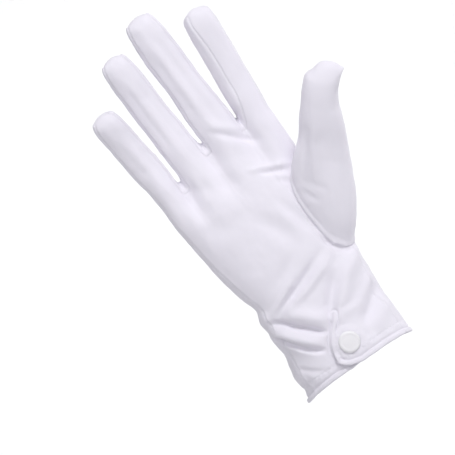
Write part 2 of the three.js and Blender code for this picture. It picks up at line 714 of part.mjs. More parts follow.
const thumbStart = at(0, 0, 0);
for (const [c, r] of thumbRoot) {
  thumbStart.addScaledVector(points[hand[r][c]].position, 1 / thumbRoot.length);
}
const lean = degToRad(THUMB_LEAN);
const forward = degToRad(THUMB_FORWARD);
const thumbAxis = at(
  Math.sin(lean) * Math.cos(forward),
  -Math.sin(forward),
  Math.cos(lean) * Math.cos(forward),
);

// Directions of the thumb's section: one to its outer edge, one to the palm side
const thumbLower = at(0, 1, 0).cross(thumbAxis).normalize();
const thumbFront = thumbLower.clone().cross(thumbAxis).normalize();

function thumbPoint(column, row, ring) {
  const [p, q] = holePlace(column, row);
  const size = roundSize(p, q, ROUNDNESS);
  const point = thumbStart.clone().addScaledVector(thumbAxis, ring.at * THUMB_LENGTH);
  const across = ring.shift - q / size * ring.width / 2;
  point.addScaledVector(thumbLower, across * THUMB_WIDTH);
  point.addScaledVector(thumbFront, -p / size * THUMB_DEPTH / 2 * ring.depth);
  return point;
}

// Curve from the opening's edge to the first free ring of the thumb
function thumbRootPoint(column, row, share) {
  const start = points[hand[row][column]].position;
  const end = thumbPoint(column, row, THUMB_ROOT_TOP);
  const out = start.clone().sub(thumbStart);
  out.addScaledVector(thumbAxis, -out.dot(thumbAxis));
  const reach = start.distanceTo(end) * THUMB_ROOT_CURVE.reach;
  const lower = Math.max(0, out.dot(thumbLower));
  const first = start.clone().addScaledVector(thumbAxis, reach);
  first.addScaledVector(out, THUMB_ROOT_CURVE.flare);
  first.addScaledVector(thumbLower, lower * THUMB_ROOT_CURVE.startBulge);
  const second = end.clone().addScaledVector(thumbAxis, -reach);
  second.addScaledVector(thumbLower, lower * THUMB_ROOT_CURVE.endBulge);
  return new THREE.CubicBezierCurve3(start, first, second, end).getPoint(share);
}

function addThumb() {
  const count = thumbRoot.length;
  const lowCorner = HOLE_COLUMN_END - HOLE_COLUMN;
  const highStart = lowCorner + HOLE_ROWS;
  const highEnd = highStart + lowCorner;
  let below = thumbRoot.map(([c, r]) => hand[r][c]);
  const join = (above) => {
    for (let i = 0; i < count; i += 1) {
      const next = (i + 1) % count;
      addFace('thumb', below[i], below[next], above[next], above[i]);
    }
    below = above;
  };
  for (let i = 1; i <= THUMB_ROOT_RINGS; i += 1) {
    join(thumbRoot.map(([c, r]) => addPoint(thumbRootPoint(c, r, i / THUMB_ROOT_RINGS))));
  }
  for (const ring of THUMB_RINGS) {
    join(thumbRoot.map(([c, r]) => addPoint(thumbPoint(c, r, ring))));
  }
  const seam = [];
  for (let i = 0; i <= HOLE_ROWS; i += 1) {
    const share = 1 - 2 * i / HOLE_ROWS;
    const reach = share * (share > 0 ? THUMB_TIP.lower : THUMB_TIP.upper) / 2;
    const point = thumbStart.clone().addScaledVector(thumbAxis, THUMB_LENGTH);
    point.addScaledVector(thumbLower, (THUMB_TIP.shift + reach) * THUMB_WIDTH);
    point.addScaledVector(thumbAxis, -THUMB_TIP.droop * THUMB_WIDTH * share * share);
    seam.push(addPoint(point));
  }
  for (let i = 0; i < count; i += 1) {
    const next = (i + 1) % count;
    if (i < lowCorner) {
      addFace('thumb', below[i], below[next], seam[0]);
    } else if (i < highStart) {
      const place = i - lowCorner;
      addFace('thumb', below[i], below[next], seam[place + 1], seam[place]);
    } else if (i < highEnd) {
      addFace('thumb', below[i], below[next], seam[HOLE_ROWS]);
    } else {
      const place = HOLE_ROWS - (i - highEnd);
      addFace('thumb', below[i], below[next], seam[place - 1], seam[place]);
    }
  }
}

addThumb();

// Normals of the whole surface, so that neighbouring pieces lean the same way at a seam
for (const face of faces) {
  const corner = face.corners.map((index) => points[index].position);
  const first = corner[2].clone().sub(corner[0]);
  const second = corner[corner.length - 1].clone().sub(corner[1]);
  const normal = corner.length === 3
    ? corner[1].clone().sub(corner[0]).cross(corner[2].clone().sub(corner[0]))
    : first.cross(second);
  for (const index of face.corners) points[index].normal.add(normal);
}
for (const point of points) point.normal.normalize();

// Triangles of a face, cut along its shorter diagonal
function splitFace(corners) {
  if (corners.length === 3) return [corners];
  const [a, b, c, d] = corners;
  const length = (from, to) => points[from].position.distanceTo(points[to].position);
  return length(a, c) <= length(b, d) ? [[a, b, c], [a, c, d]] : [[b, c, d], [b, d, a]];
}

// Least share of a square corner's draw-back that a sharp corner of a piece gets
const MITRE_LIMIT = 0.6;

// Makes one piece of cloth: outer face, inner face and the rim between them, with its edge
// drawn back from the seam line by half the seam gap
function clothGeometry(piece) {
  const own = faces.filter((face) => face.piece === piece);
  const following = new Map();
  const edges = new Set();
  for (const { corners } of own) {
    corners.forEach((from, i) => edges.add(`${from}_${corners[(i + 1) % corners.length]}`));
  }
  for (const edge of edges) {
    const [from, to] = edge.split('_').map(Number);
    if (!edges.has(`${to}_${from}`)) following.set(from, to);
  }
  const previous = new Map([...following].map(([from, to]) => [to, from]));
  const drawn = (index) => {
    const { position, normal } = points[index];
    if (!following.has(index)) return position.clone();
    const into = (from, to) => {
      const edge = points[to].position.clone().sub(points[from].position);
      return normal.clone().cross(edge).normalize();
    };
    const before = into(previous.get(index), index);
    const after = into(index, following.get(index));
    const scale = SEAM_GAP / 2 / Math.max(MITRE_LIMIT, 1 + before.dot(after));
    return position.clone().addScaledVector(before.add(after), scale);
  };
  const order = new Map();
  const vertices = [];
  for (const index of own.flatMap((face) => face.corners)) {
    if (!order.has(index)) {
      order.set(index, vertices.length / 6);
      const { normal, wall, lift } = points[index];
      const base = drawn(index);
      const outer = base.clone().addScaledVector(normal, lift);
      const inner = base.addScaledVector(normal, -wall);
      vertices.push(...outer.toArray(), ...inner.toArray());
    }
  }
  const triangles = [];
  const outerOf = (index) => 2 * order.get(index);
  const innerOf = (index) => 2 * order.get(index) + 1;
  for (const { corners } of own) {
    for (const [a, b, c] of splitFace(corners)) {
      triangles.push(outerOf(a), outerOf(b), outerOf(c));
      triangles.push(innerOf(a), innerOf(c), innerOf(b));
    }
  }
  for (const [from, to] of following) {
    triangles.push(outerOf(to), outerOf(from), innerOf(from));
    triangles.push(outerOf(to), innerOf(from), innerOf(to));
  }
  const geometry = new THREE.BufferGeometry();
  geometry.setAttribute('position', new THREE.Float32BufferAttribute(vertices, 3));
  geometry.setIndex(triangles);
  geometry.computeVertexNormals();
  return geometry;
}

const glove = new THREE.Group();

function addPiece(name, geometry, colour, roughness) {
  const material = new THREE.MeshStandardMaterial({ color: colour, roughness, metalness: 0 });
  const mesh = new THREE.Mesh(geometry, material);
  mesh.name = name;
  glove.add(mesh);
  return mesh;
}

const CLOTH_WHITE = 0xe8e6f2;
const SNAP_WHITE = 0xeeeef0;
for (const piece of new Set(faces.map((face) => face.piece))) {
  addPiece(piece, clothGeometry(piece), CLOTH_WHITE, 0.9);
}

// Snap: a cap on the flap and the back of its stud inside the cuff, square to the cloth there
function snapSeat() {
  const row = Math.round(HEM_ROWS + (SNAP_Z - HEM_HEIGHT) / (VENT_HEIGHT - HEM_HEIGHT) * VENT_ROWS);
  const near = flap[row].slice(0, UNDERLAP_COLUMNS).map((index) => points[index]);
  const gap = ({ position }) => Math.hypot(position.x - SNAP_X, position.z - SNAP_Z);
  const nearest = near.reduce((best, point) => (gap(point) < gap(best) ? point : best));
  return nearest.normal.clone();
}

// Highest or lowest reach of the cloth along a direction, under a disc
function clothReach(direction, radius, sign, inner) {
  let reach = -Infinity;
  for (const { position, normal, wall } of points) {
    const away = Math.hypot(position.x - SNAP_X, position.z - SNAP_Z);
    if (away < radius + FOLD_WIDTH && position.y < 0) {
      const cloth = position.clone().addScaledVector(normal, inner ? -wall : 0);
      reach = Math.max(reach, sign * cloth.dot(direction));
    }
  }
  return sign * reach;
}

const snapOut = snapSeat();
const turned = new THREE.Quaternion().setFromUnitVectors(at(0, 1, 0), snapOut);

function snapPiece(name, outline, radius, height, level) {
  const profile = outline.map((row) => new THREE.Vector2(row.radius * radius, row.height * height));
  const mesh = addPiece(name, new THREE.LatheGeometry(profile, SNAP_SIDES), SNAP_WHITE, 0.35);
  mesh.quaternion.copy(turned);
  const flat = at(SNAP_X, 0, SNAP_Z);
  mesh.position.set(SNAP_X, (level - flat.dot(snapOut)) / snapOut.y, SNAP_Z);
}

const capRadius = SNAP_DIAMETER / 2;
const capLevel = clothReach(snapOut, capRadius, 1, false) + SNAP_CLEARANCE;
snapPiece('snap_cap', CAP_OUTLINE, capRadius, SNAP_HEIGHT, capLevel);

const studRadius = STUD_DIAMETER / 2;
const studTop = clothReach(snapOut, studRadius, -1, true) - SNAP_CLEARANCE;
snapPiece('snap_stud', STUD_OUTLINE, studRadius, STUD_HEIGHT, studTop - STUD_HEIGHT);

export default glove;
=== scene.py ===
import math

import bpy
import numpy as np
from mathutils import Matrix, Vector, kdtree, noise
from mathutils.bvhtree import BVHTree


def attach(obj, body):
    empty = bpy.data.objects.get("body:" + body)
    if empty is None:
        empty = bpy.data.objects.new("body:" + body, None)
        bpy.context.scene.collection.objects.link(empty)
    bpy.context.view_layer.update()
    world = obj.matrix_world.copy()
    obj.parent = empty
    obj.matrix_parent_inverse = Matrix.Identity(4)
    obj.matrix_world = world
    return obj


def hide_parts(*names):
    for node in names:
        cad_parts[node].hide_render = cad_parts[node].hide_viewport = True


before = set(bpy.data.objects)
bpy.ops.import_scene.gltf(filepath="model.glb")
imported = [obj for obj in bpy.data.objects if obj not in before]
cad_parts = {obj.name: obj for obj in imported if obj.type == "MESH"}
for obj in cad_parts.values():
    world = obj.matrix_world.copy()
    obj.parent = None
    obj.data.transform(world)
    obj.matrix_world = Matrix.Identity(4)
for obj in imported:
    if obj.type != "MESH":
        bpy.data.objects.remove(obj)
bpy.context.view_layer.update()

# White cloth dress glove for the right hand, in metres. X runs to the thumb side, Y to the back
# of the hand and Z from the cuff to the fingertips. The palm faces the camera.

# One millimetre, and a difference that is too small to count
MM = 0.001
TINY = 1e-5

# Lengths along the hand
PALM_LENGTH = 0.161
FINGER_LENGTH = 0.082
HEM_HEIGHT = 0.009
VENT_HEIGHT = 0.037
THUMB_HOLE_FOOT = 0.063
THUMB_HOLE_HEIGHT = 0.058
KNUCKLE_START = 0.112
CROTCH_DROP = 0.007
HEM_LIFT = 0.0057
EDGE_ROLL = 0.0009

# Breadths and depths
CUFF_WIDTH = 0.073
CUFF_DEPTH = 0.050
WRIST_WIDTH = 0.0715
WRIST_DEPTH = 0.039
PALM_BREADTH = 0.0856
PALM_DEPTH = 0.034
FINGER_WIDTH = 0.023
FINGER_DEPTH = 0.020
WEB_WIDTH = 0.0017
FINGER_CURL = 0.014

# Thumb
THUMB_LENGTH = 0.0885
THUMB_WIDTH = 0.0215
THUMB_DEPTH = 0.021
THUMB_LEAN = math.radians(33.5)
THUMB_FORWARD = math.radians(24)

# Cloth
WALL = 0.001
HEM_WALL = 0.0019
SEAM_GAP = 0.00012
LAYER_GAP = 0.0004
FLAP_CORNER = 0.0032
FLAP_CORNER_FADE = 0.0175
FLAP_CLIMB_WIDTH = 0.011
FLAP_CLIMB = 0.4
POINT_HEIGHT = 0.0016
POINT_WIDTH = 0.0028
POINT_FOOT = 0.060
POINT_SPACING = 0.013
POINT_START = 0.008

# Roundness of a cross-section: 2 is an ellipse, more is squarer
ROUNDNESS = 2.4
# Shares of a face's half width at which its side seams run, and furthest share of a root's seam
SEAM_SHARE = 0.88
CUFF_SEAM_SHARE = 0.89
ROOT_SHARE_LIMIT = 0.97
# Shares of PALM_LENGTH at which the palm's and the back's columns point up the fingers
PALM_COLUMNS_END = 0.92
BACK_COLUMNS_END = 0.95


def table(columns, *rows):
    """Rows of a table as dictionaries, with its columns named once."""
    return [dict(zip(columns.split(), row)) for row in rows]


# Cross-sections of the hand: at is a share of PALM_LENGTH, centre a share of the width
SECTIONS = table(
    "at width centre palm back",
    (0.00, CUFF_WIDTH, -0.008, CUFF_DEPTH * 0.50, CUFF_DEPTH * 0.50),
    (0.12, CUFF_WIDTH * 0.98, 0.000, CUFF_DEPTH * 0.47, CUFF_DEPTH * 0.46),
    (0.25, CUFF_WIDTH * 0.975, 0.016, CUFF_DEPTH * 0.42, CUFF_DEPTH * 0.41),
    (0.38, WRIST_WIDTH, 0.040, WRIST_DEPTH * 0.50, WRIST_DEPTH * 0.48),
    (0.50, PALM_BREADTH * 0.91, 0.018, PALM_DEPTH * 0.56, PALM_DEPTH * 0.51),
    (0.64, PALM_BREADTH * 0.96, 0.001, PALM_DEPTH * 0.53, PALM_DEPTH * 0.49),
    (0.82, PALM_BREADTH * 0.99, -0.006, PALM_DEPTH * 0.49, PALM_DEPTH * 0.47),
    (1.00, PALM_BREADTH, -0.008, PALM_DEPTH * 0.38, PALM_DEPTH * 0.38),
)

# Line of the vent: at is a share of VENT_HEIGHT, across a share of the cuff's half width
VENT_LINE = table(
    "at across",
    (0.00, -0.250),
    (0.35, -0.250),
    (0.50, -0.235),
    (0.66, -0.160),
    (0.83, -0.035),
    (1.00, 0.075),
    (1.25, 0.130),
    (1.70, 0.080),
)

# Fingers from the little finger to the index finger. Edges at the root are shares of half the
# breadth, heights are shares of PALM_LENGTH, and tip sizes are shares of half the breadth and of
# FINGER_LENGTH. Curl is a share of FINGER_CURL, and twist is in degrees.
FINGERS = table(
    "name left right left_up right_up tip_across tip_up width curl twist",
    ("little", -1.015, -0.625, 0.915, 0.932, -0.980, 0.561, 0.83, 1.3, 0),
    ("ring", -0.590, -0.075, 0.932, 1.000, -0.420, 0.860, 0.90, 1.0, 0),
    ("middle", -0.040, 0.515, 1.000, 0.998, 0.180, 1.000, 0.985, 0.8, 0),
    ("index", 0.555, 1.000, 0.998, 0.965, 0.887, 0.812, 0.90, 0.9, 42),
)

# Rings of a finger: at is a share of its length, width and depth are shares of its own, and turn
# is how much of its twist it has
FINGER_RINGS = table(
    "at width depth turn",
    (0.10, 1.030, 1.00, 0.80),
    (0.24, 1.015, 0.99, 1.00),
    (0.38, 0.990, 0.97, 1.00),
    (0.52, 0.975, 0.95, 1.00),
    (0.66, 0.965, 0.93, 0.95),
    (0.79, 0.950, 0.90, 0.80),
    (0.89, 0.900, 0.82, 0.60),
    (0.96, 0.760, 0.58, 0.50),
)
# Seam over a fingertip: its share of the width, the droop of its ends and its share of the twist
TIP_SEAM_SHARE = 0.54
TIP_SEAM_DROOP = 0.0015
TIP_TURN = 0.5
# Shares of a finger's length at which its rings are square to it and have its own width
RING_SQUARE = 0.45
RING_FULL = 0.4
# Depth of the seams at a crotch, as a share of a finger's own, and the share of CROTCH_DROP that
# the middle of a finger's root is spared
CROTCH_SEAM_DEPTH = 0.94
ROOT_ARCH = 0.4

# Rings of the thumb past its root: at is a share of THUMB_LENGTH, the rest shares of its sizes
THUMB_ROOT_RINGS = 6
THUMB_ROOT_TOP = {"at": 0.62, "width": 1.16, "depth": 1.05, "shift": 0.00}
THUMB_ROOT_CURVE = {"reach": 0.36, "flare": 0.12, "start_bulge": 0.08, "end_bulge": 0.30}
THUMB_RINGS = table(
    "at width depth shift",
    (0.70, 1.03, 1.00, -0.03),
    (0.78, 0.98, 0.96, -0.03),
    (0.85, 0.98, 0.86, 0.00),
    (0.91, 0.97, 0.66, 0.06),
)
THUMB_TIP = {"upper": 0.60, "lower": 1.02, "shift": 0.10, "droop": 0.20}

# Lattice of the hand: columns round it and rows up it
FACE_STEPS = 4
SIDE_STEPS = 3
GAP_STEPS = 2
PITCH = FACE_STEPS + GAP_STEPS
PALM_LAST = len(FINGERS) * PITCH - GAP_STEPS
BACK_FIRST = PALM_LAST + SIDE_STEPS
BACK_LAST = BACK_FIRST + PALM_LAST
COLUMNS = BACK_LAST + SIDE_STEPS
VENT_COLUMN = PITCH * 2 - 1
UNDERLAP_COLUMNS = 5
FLAP_EASE_COLUMNS = 3
HEM_ROWS = 2
VENT_ROWS = 7
WRIST_ROWS = 6
HOLE_ROWS = 5
KNUCKLE_ROWS = 4
VENT_ROW = HEM_ROWS + VENT_ROWS
HOLE_ROW = VENT_ROW + WRIST_ROWS
HOLE_ROW_END = HOLE_ROW + HOLE_ROWS
TOP_ROW = HOLE_ROW_END + KNUCKLE_ROWS
HOLE_COLUMN = PALM_LAST - SIDE_STEPS
HOLE_COLUMN_END = PALM_LAST + SIDE_STEPS
# Thumb opening: its roundness, how far it stretches into the palm, and how far round it the
# lattice is eased, as shares of its half size
HOLE_ROUNDNESS = 2.4
HOLE_PALM_STRETCH = 0.42
HOLE_EASE = 0.9

# Times that the lattice is refined for the inner and the outer face
INNER_LEVEL = 2
OUTER_LEVEL = 3
# Rounds in which the lattice is swollen until the refined surface passes through its points
SWELL_ROUNDS = 3

# Folds of the palm side. Heights, widths and the points of a fold's line, across and up, are in
# millimetres. Fade is the share of the line over which each end fades out.
PALM_FOLDS = table(
    "height width fade line",
    (-3, 1.6, 0.22, [(-31, 53.5), (-23.3, 48.2), (-19, 43.2), (-14, 38.9), (-9.5, 34), (-4, 29.5)]),
    (-3.2, 1.7, 0.22, [(-35.5, 49), (-33.3, 44.5), (-29.8, 40.5), (-25, 34.6), (-20.5, 29),
        (-15.5, 24.7), (-11, 21.5)]),
    (2.8, 4.4, 0.35, [(-23.5, 53), (-15, 48), (-9, 42.5), (-3, 37), (0, 32)]),
    (3.2, 4, 0.3, [(-32, 50.5), (-28, 45), (-24, 39.2), (-19.6, 34.3), (-15, 29.5), (-10, 25.5)]),
    (1.2, 3, 0.4, [(-31, 40), (-26.5, 33.5), (-21.5, 27), (-15, 21.5)]),
    (1.5, 2.2, 0.4, [(-30, 53), (-20, 58.8), (-11.7, 63.2), (2, 72)]),
    (-2.1, 2.2, 0.4, [(-28, 52.5), (-15, 57.2), (-2.6, 61.8), (14.8, 69), (25, 73)]),
    (1.6, 2.6, 0.4, [(-26, 51), (-11, 54.5), (3, 58.2), (18.3, 64), (28, 69)]),
    (-1.2, 3.4, 0.45, [(-22, 66), (-8, 72), (6, 80)]),
    (3, 4.6, 0.3, [(40, 63), (27, 53.5), (16.5, 45), (7, 36), (1.5, 27)]),
    (-2.2, 3.4, 0.35, [(20, 59), (11.5, 49), (3.5, 40), (-0.5, 34)]),
    (-3.1, 4.4, 0.32, [(38.5, 38.5), (29.5, 31.5), (19, 25), (12, 21.5)]),
    (1.3, 4, 0.4, [(37.5, 28.5), (28, 21.5), (17, 15)]),
    (0.8, 2.6, 0.4, [(39, 48), (31, 40), (23, 33)]),
    (-0.8, 1.8, 0.35, [(-33, 24), (-25, 16), (-17, 12)]),
    (-1.5, 1.8, 0.3, [(3, 165.5), (9.1, 159.8), (17.7, 151.2), (26.2, 142.5)]),
    (1, 2.6, 0.35, [(5.7, 169), (15.8, 159.8), (26.7, 151.5)]),
    (1, 4, 0.4, [(10, 151), (19, 144), (29, 135)]),
    (1.6, 1.8, 0.35, [(8, 133.5), (15.5, 130.2), (25.1, 125.6), (35, 121.2)]),
    (-1.6, 1.9, 0.3, [(13, 129), (23.9, 123.7), (33.8, 119.3)]),
    (-0.8, 2, 0.4, [(18, 120), (26, 115), (33, 110)]),
    (-1.2, 5, 0.4, [(-30, 145), (-10, 136), (8, 130)]),
    (-1, 5.2, 0.4, [(-34, 118), (-20, 113), (2, 116)]),
    (-1.6, 5.6, 0.4, [(-8, 115), (6, 95), (11, 74)]),
    (-1.2, 3.4, 0.4, [(14, 112), (19, 95), (23, 80)]),
    (-1.4, 2.6, 0.4, [(22, 79), (28, 68), (36, 59)]),
    (0.9, 2.6, 0.4, [(30, 74), (34, 64), (38.5, 56)]),
)

# Folds of the thumb, seen from the palm side
THUMB_FOLDS = table(
    "height width fade line",
    (-1, 2.2, 0.4, [(54, 139), (45.5, 126.5), (36.5, 114.1), (33.5, 109.5)]),
    (0.9, 2.6, 0.4, [(60.6, 140.3), (49.5, 124.5), (38.3, 108.5), (35, 103.5)]),
    (-0.6, 1.7, 0.4, [(28.5, 108), (31, 100.5), (34.5, 93)]),
    (-0.5, 2.2, 0.4, [(31, 112), (36, 105), (43.2, 95)]),
    (-0.5, 3.6, 0.45, [(64, 134), (56, 118), (50, 102)]),
)

# Folds of the back
BACK_FOLDS = table(
    "height width fade line",
    (-2.2, 3, 0.35, [(-33, 56), (-18, 52), (-6, 53), (6, 56)]),
    (1.8, 3.8, 0.35, [(-34, 50), (-18, 45.5), (-2, 46.5), (10, 49)]),
    (-1.9, 2.6, 0.35, [(-34, 42), (-20, 39), (-6, 40)]),
    (-2, 3, 0.35, [(40, 56), (28, 50), (12, 46)]),
    (1.6, 3.6, 0.35, [(40, 49), (26, 43), (10, 39)]),
    (-1.4, 2.8, 0.35, [(38, 40), (24, 35), (11, 33)]),
    (1, 4, 0.35, [(-32, 33), (-18, 28), (-6, 27)]),
    (-1.4, 3.6, 0.35, [(32, 74), (34.5, 90), (36, 106)]),
    (1, 5, 0.4, [(-34, 150), (-31, 136), (-30, 120)]),
    (-1, 3.4, 0.4, [(-38, 145), (-31, 141), (-24, 142)]),
    (-0.9, 3.4, 0.4, [(-17, 146), (-11, 144), (-5, 146)]),
    (-0.9, 3.4, 0.4, [(5, 148), (11, 146), (17, 148)]),
    (-1, 3.4, 0.4, [(24, 146), (31, 143), (38, 144)]),
)

# Waves of the side edges in millimetres: side is -1 for the little finger's side
SIDE_WAVES = table(
    "side up height width",
    (-1, 64, -0.6, 4),
    (-1, 54.5, 2.2, 5),
    (-1, 43.5, 0.8, 3.6),
    (-1, 31, -1.2, 5),
    (-1, 17, 0.6, 4),
    (-1, 7.5, -1, 3),
    (-1, 0, 1, 3.5),
    (1, 56, -0.6, 6),
    (1, 30, -0.6, 7),
)

# Lengthwise folds of the fingers: side is -1 for the palm side, at_root and at_tip are shares of
# the half width, start and end are shares of the length, height and width are in millimetres
FINGER_FOLDS = table(
    "finger side at_root at_tip start end height width",
    ("little", -1, 0.05, 0.1, -0.1, 0.75, 0.54, 2.6),
    ("little", -1, 0.42, 0.52, -0.05, 0.8, -0.61, 2.6),
    ("little", -1, -0.4, -0.3, 0.15, 0.85, -0.34, 2.2),
    ("ring", -1, 0.02, -0.02, -0.05, 0.85, 0.68, 2.8),
    ("ring", -1, -0.42, -0.34, 0.1, 0.88, -0.61, 2.2),
    ("ring", -1, 0.44, 0.36, -0.1, 0.8, -0.68, 2.8),
    ("middle", -1, -0.16, -0.1, -0.15, 0.9, 0.68, 2.6),
    ("middle", -1, 0.36, 0.16, -0.15, 0.92, -0.82, 3.6),
    ("middle", -1, -0.52, -0.46, 0.1, 0.8, -0.48, 2.2),
    ("middle", -1, 0.62, 0.52, 0.15, 0.85, 0.41, 2.2),
    ("index", -1, 0.1, 0.05, 0.1, 0.85, 0.41, 3),
    ("index", -1, 0.5, 0.46, 0.05, 0.8, -0.54, 2.8),
    ("little", 1, 0.1, 0, 0.05, 0.75, -0.6, 3),
    ("ring", 1, -0.15, 0.05, 0.05, 0.8, -0.6, 3),
    ("middle", 1, 0.12, -0.06, 0.05, 0.8, -0.7, 3),
    ("index", 1, -0.1, 0.1, 0.05, 0.8, -0.7, 3),
)

# Uneven wrinkles of all the cloth: height and pitch in millimetres, and the noise's offset
WRINKLES = table(
    "height pitch offset",
    (0.55, 16, (3.1, 7.7, 1.9)),
    (0.22, 7, (6.6, 2.5, 8.8)),
    (0.08, 3.5, (9.2, 0.4, 5.3)),
)

# Ridges and grooves along seams, edges and sewn lines, in millimetres: height, what the thread's
# gathers add to it, distance from the line, and width
RELIEF = {
    "seam groove": (-0.26, 0, 0, 0.55),
    "seam roll": (0.12, 0.10, 1.4, 0.9),
    "thumb groove": (-0.30, 0, 2.1, 0.6),
    "beside thumb": (-0.35, 0, 0, 1.6),
    "free groove": (-0.60, 0, 2.4, 0.7),
    "hem stitches": (-0.28, 0, 0, 0.6),
    "hem fullness": (0, 0.20, 0, 2.2),
}
GATHER_PITCH = 0.0021
GATHER_OFFSET = (4.4, 8.1, 2.2)


def clamp(value, low, high):
    return min(max(value, low), high)


def lerp(a, b, share):
    return a + (b - a) * share


def smoothstep(value, low, high):
    share = np.clip((value - low) / (high - low), 0, 1)
    return share * share * (3 - 2 * share)


def unit(rows):
    return rows / np.maximum(np.linalg.norm(rows, axis=-1, keepdims=True), 1e-12)


def dot(a, b):
    return (a * b).sum(axis=-1)


def vec(x, y, z):
    return np.array([x, y, z], float)


def table_value(table, key, place):
    """Smooth value of one column of a table, by Hermite interpolation over its at column."""
    last = len(table) - 1
    place = clamp(place, table[0]["at"], table[last]["at"])
    i = 0
    while i < last - 1 and place > table[i + 1]["at"]:
        i += 1

    def slope(k):
        a, b = table[max(k - 1, 0)], table[min(k + 1, last)]
        return (b[key] - a[key]) / (b["at"] - a["at"])

    span = table[i + 1]["at"] - table[i]["at"]
    t = (place - table[i]["at"]) / span
    start = table[i][key] * (1 + 2 * t) * (1 - t) ** 2 + slope(i) * span * t * (1 - t) ** 2
    end = table[i + 1][key] * t * t * (3 - 2 * t) + slope(i + 1) * span * t * t * (t - 1)
    return start + end


def round_point(angle):
    """Point of a superellipse with half sizes of 1."""
    power = 2 / ROUNDNESS
    cos, sin = math.cos(angle), math.sin(angle)
    return math.copysign(abs(cos) ** power, cos), math.copysign(abs(sin) ** power, sin)


def round_size(x, y, power):
    return (abs(x) ** power + abs(y) ** power) ** (1 / power)


def palm_angle(share):
    share = clamp(share, -1, 1)
    return -math.acos(math.copysign(abs(share) ** (ROUNDNESS / 2), share))


def finger_root(finger):
    half = PALM_BREADTH / 2
    left = vec(finger["left"] * half, 0, finger["left_up"] * PALM_LENGTH)
    right = vec(finger["right"] * half, 0, finger["right_up"] * PALM_LENGTH)
    tip = vec(
        finger["tip_across"] * half,
        -finger["curl"] * FINGER_CURL,
        PALM_LENGTH + finger["tip_up"] * FINGER_LENGTH,
    )
    return {"left": left, "right": right, "centre": (left + right) / 2, "tip": tip,
            "half": (right[0] - left[0]) / 2}


ROOTS = [finger_root(finger) for finger in FINGERS]


def finger_share(step):
    return SEAM_SHARE * (2 * step / FACE_STEPS - 1)


def root_point(column):
    """Place where a palm or back column meets the finger roots."""
    face = -1 if column <= PALM_LAST else 1
    palm = column if column <= PALM_LAST else BACK_LAST - column
    finger, step = divmod(palm, PITCH)
    root = ROOTS[finger]
    if step > FACE_STEPS:
        seam_y = round_point(palm_angle(SEAM_SHARE))[1]
        x = (root["right"][0] + ROOTS[finger + 1]["left"][0]) / 2
        y = face * -seam_y * FINGER_DEPTH / 2 * CROTCH_SEAM_DEPTH
        return vec(x, y, root["right"][2] - CROTCH_DROP)
    share = finger_share(step)
    x, y = round_point(palm_angle(share))
    drop = CROTCH_DROP * (1 - ROOT_ARCH * (1 - abs(share)))
    z = lerp(root["left"][2], root["right"][2], (share + 1) / 2) - drop
    return vec(root["centre"][0] + x * root["half"], face * -y * FINGER_DEPTH / 2, z)


def outer_root_point(column):
    """Root point of a column on the outer side of the little or the index finger."""
    radial = column < BACK_FIRST
    height = root_point(PALM_LAST if radial else BACK_LAST)[2]
    root = ROOTS[-1] if radial else ROOTS[0]
    seam = palm_angle(SEAM_SHARE if radial else -SEAM_SHARE)
    step = column - (PALM_LAST if radial else BACK_LAST)
    if radial:
        angle = lerp(seam, -seam, step / SIDE_STEPS)
    else:
        angle = lerp(-seam, seam + 2 * math.pi, step / SIDE_STEPS)
    x, y = round_point(angle)
    return vec(root["centre"][0] + x * root["half"], y * FINGER_DEPTH / 2, height)


def whole_column_root(column):
    column %= COLUMNS
    outer = PALM_LAST < column < BACK_FIRST or column > BACK_LAST
    return outer_root_point(column) if outer else root_point(column)


COLUMN_ROOTS = [whole_column_root(column) for column in range(COLUMNS)]


def column_root(column):
    low = math.floor(column)
    return lerp(COLUMN_ROOTS[low % COLUMNS], COLUMN_ROOTS[(low + 1) % COLUMNS], column - low)


def palm_share(column, z):
    """Share across the hand of a palm column at a height."""
    half = table_value(SECTIONS, "width", z / PALM_LENGTH) / 2
    vent = table_value(VENT_LINE, "across", z / VENT_HEIGHT)
    if column < VENT_COLUMN:
        cuff = lerp(-CUFF_SEAM_SHARE, vent, column / VENT_COLUMN)
    else:
        cuff = lerp(vent, CUFF_SEAM_SHARE, (column - VENT_COLUMN) / (PALM_LAST - VENT_COLUMN))
    root = clamp(column_root(column)[0] / half, -ROOT_SHARE_LIMIT, ROOT_SHARE_LIMIT)
    return lerp(cuff, root, smoothstep(z, VENT_HEIGHT, PALM_COLUMNS_END * PALM_LENGTH))


def back_share(mirror, z):
    """Share across the hand of a back column at a height, given as its mirror palm column."""
    half = table_value(SECTIONS, "width", z / PALM_LENGTH) / 2
    places, shares = [0], [-CUFF_SEAM_SHARE]
    for gap in range(len(FINGERS) - 1):
        for step in (-1, 0, 1):
            places.append(gap * PITCH + FACE_STEPS + 1 + step)
            shares.append(((gap - 1) * POINT_SPACING + step * POINT_WIDTH / 2) / half)
    places.append(PALM_LAST)
    shares.append(CUFF_SEAM_SHARE)
    cuff = np.interp(mirror, places, shares)
    root = clamp(column_root(BACK_LAST - mirror)[0] / half, -ROOT_SHARE_LIMIT, ROOT_SHARE_LIMIT)
    climb = clamp((z - POINT_FOOT) / (BACK_COLUMNS_END * PALM_LENGTH - POINT_FOOT), 0, 1)
    return lerp(cuff, root, climb)


def column_angle(column, z):
    if column <= PALM_LAST:
        return palm_angle(palm_share(column, z))
    if column < BACK_FIRST:
        share = (column - PALM_LAST) / SIDE_STEPS
        return lerp(column_angle(PALM_LAST, z), column_angle(BACK_FIRST, z), share)
    if column <= BACK_LAST:
        return -palm_angle(back_share(BACK_LAST - column, z))
    share = (column - BACK_LAST) / SIDE_STEPS
    return lerp(column_angle(BACK_LAST, z), column_angle(0, z) + 2 * math.pi, share)


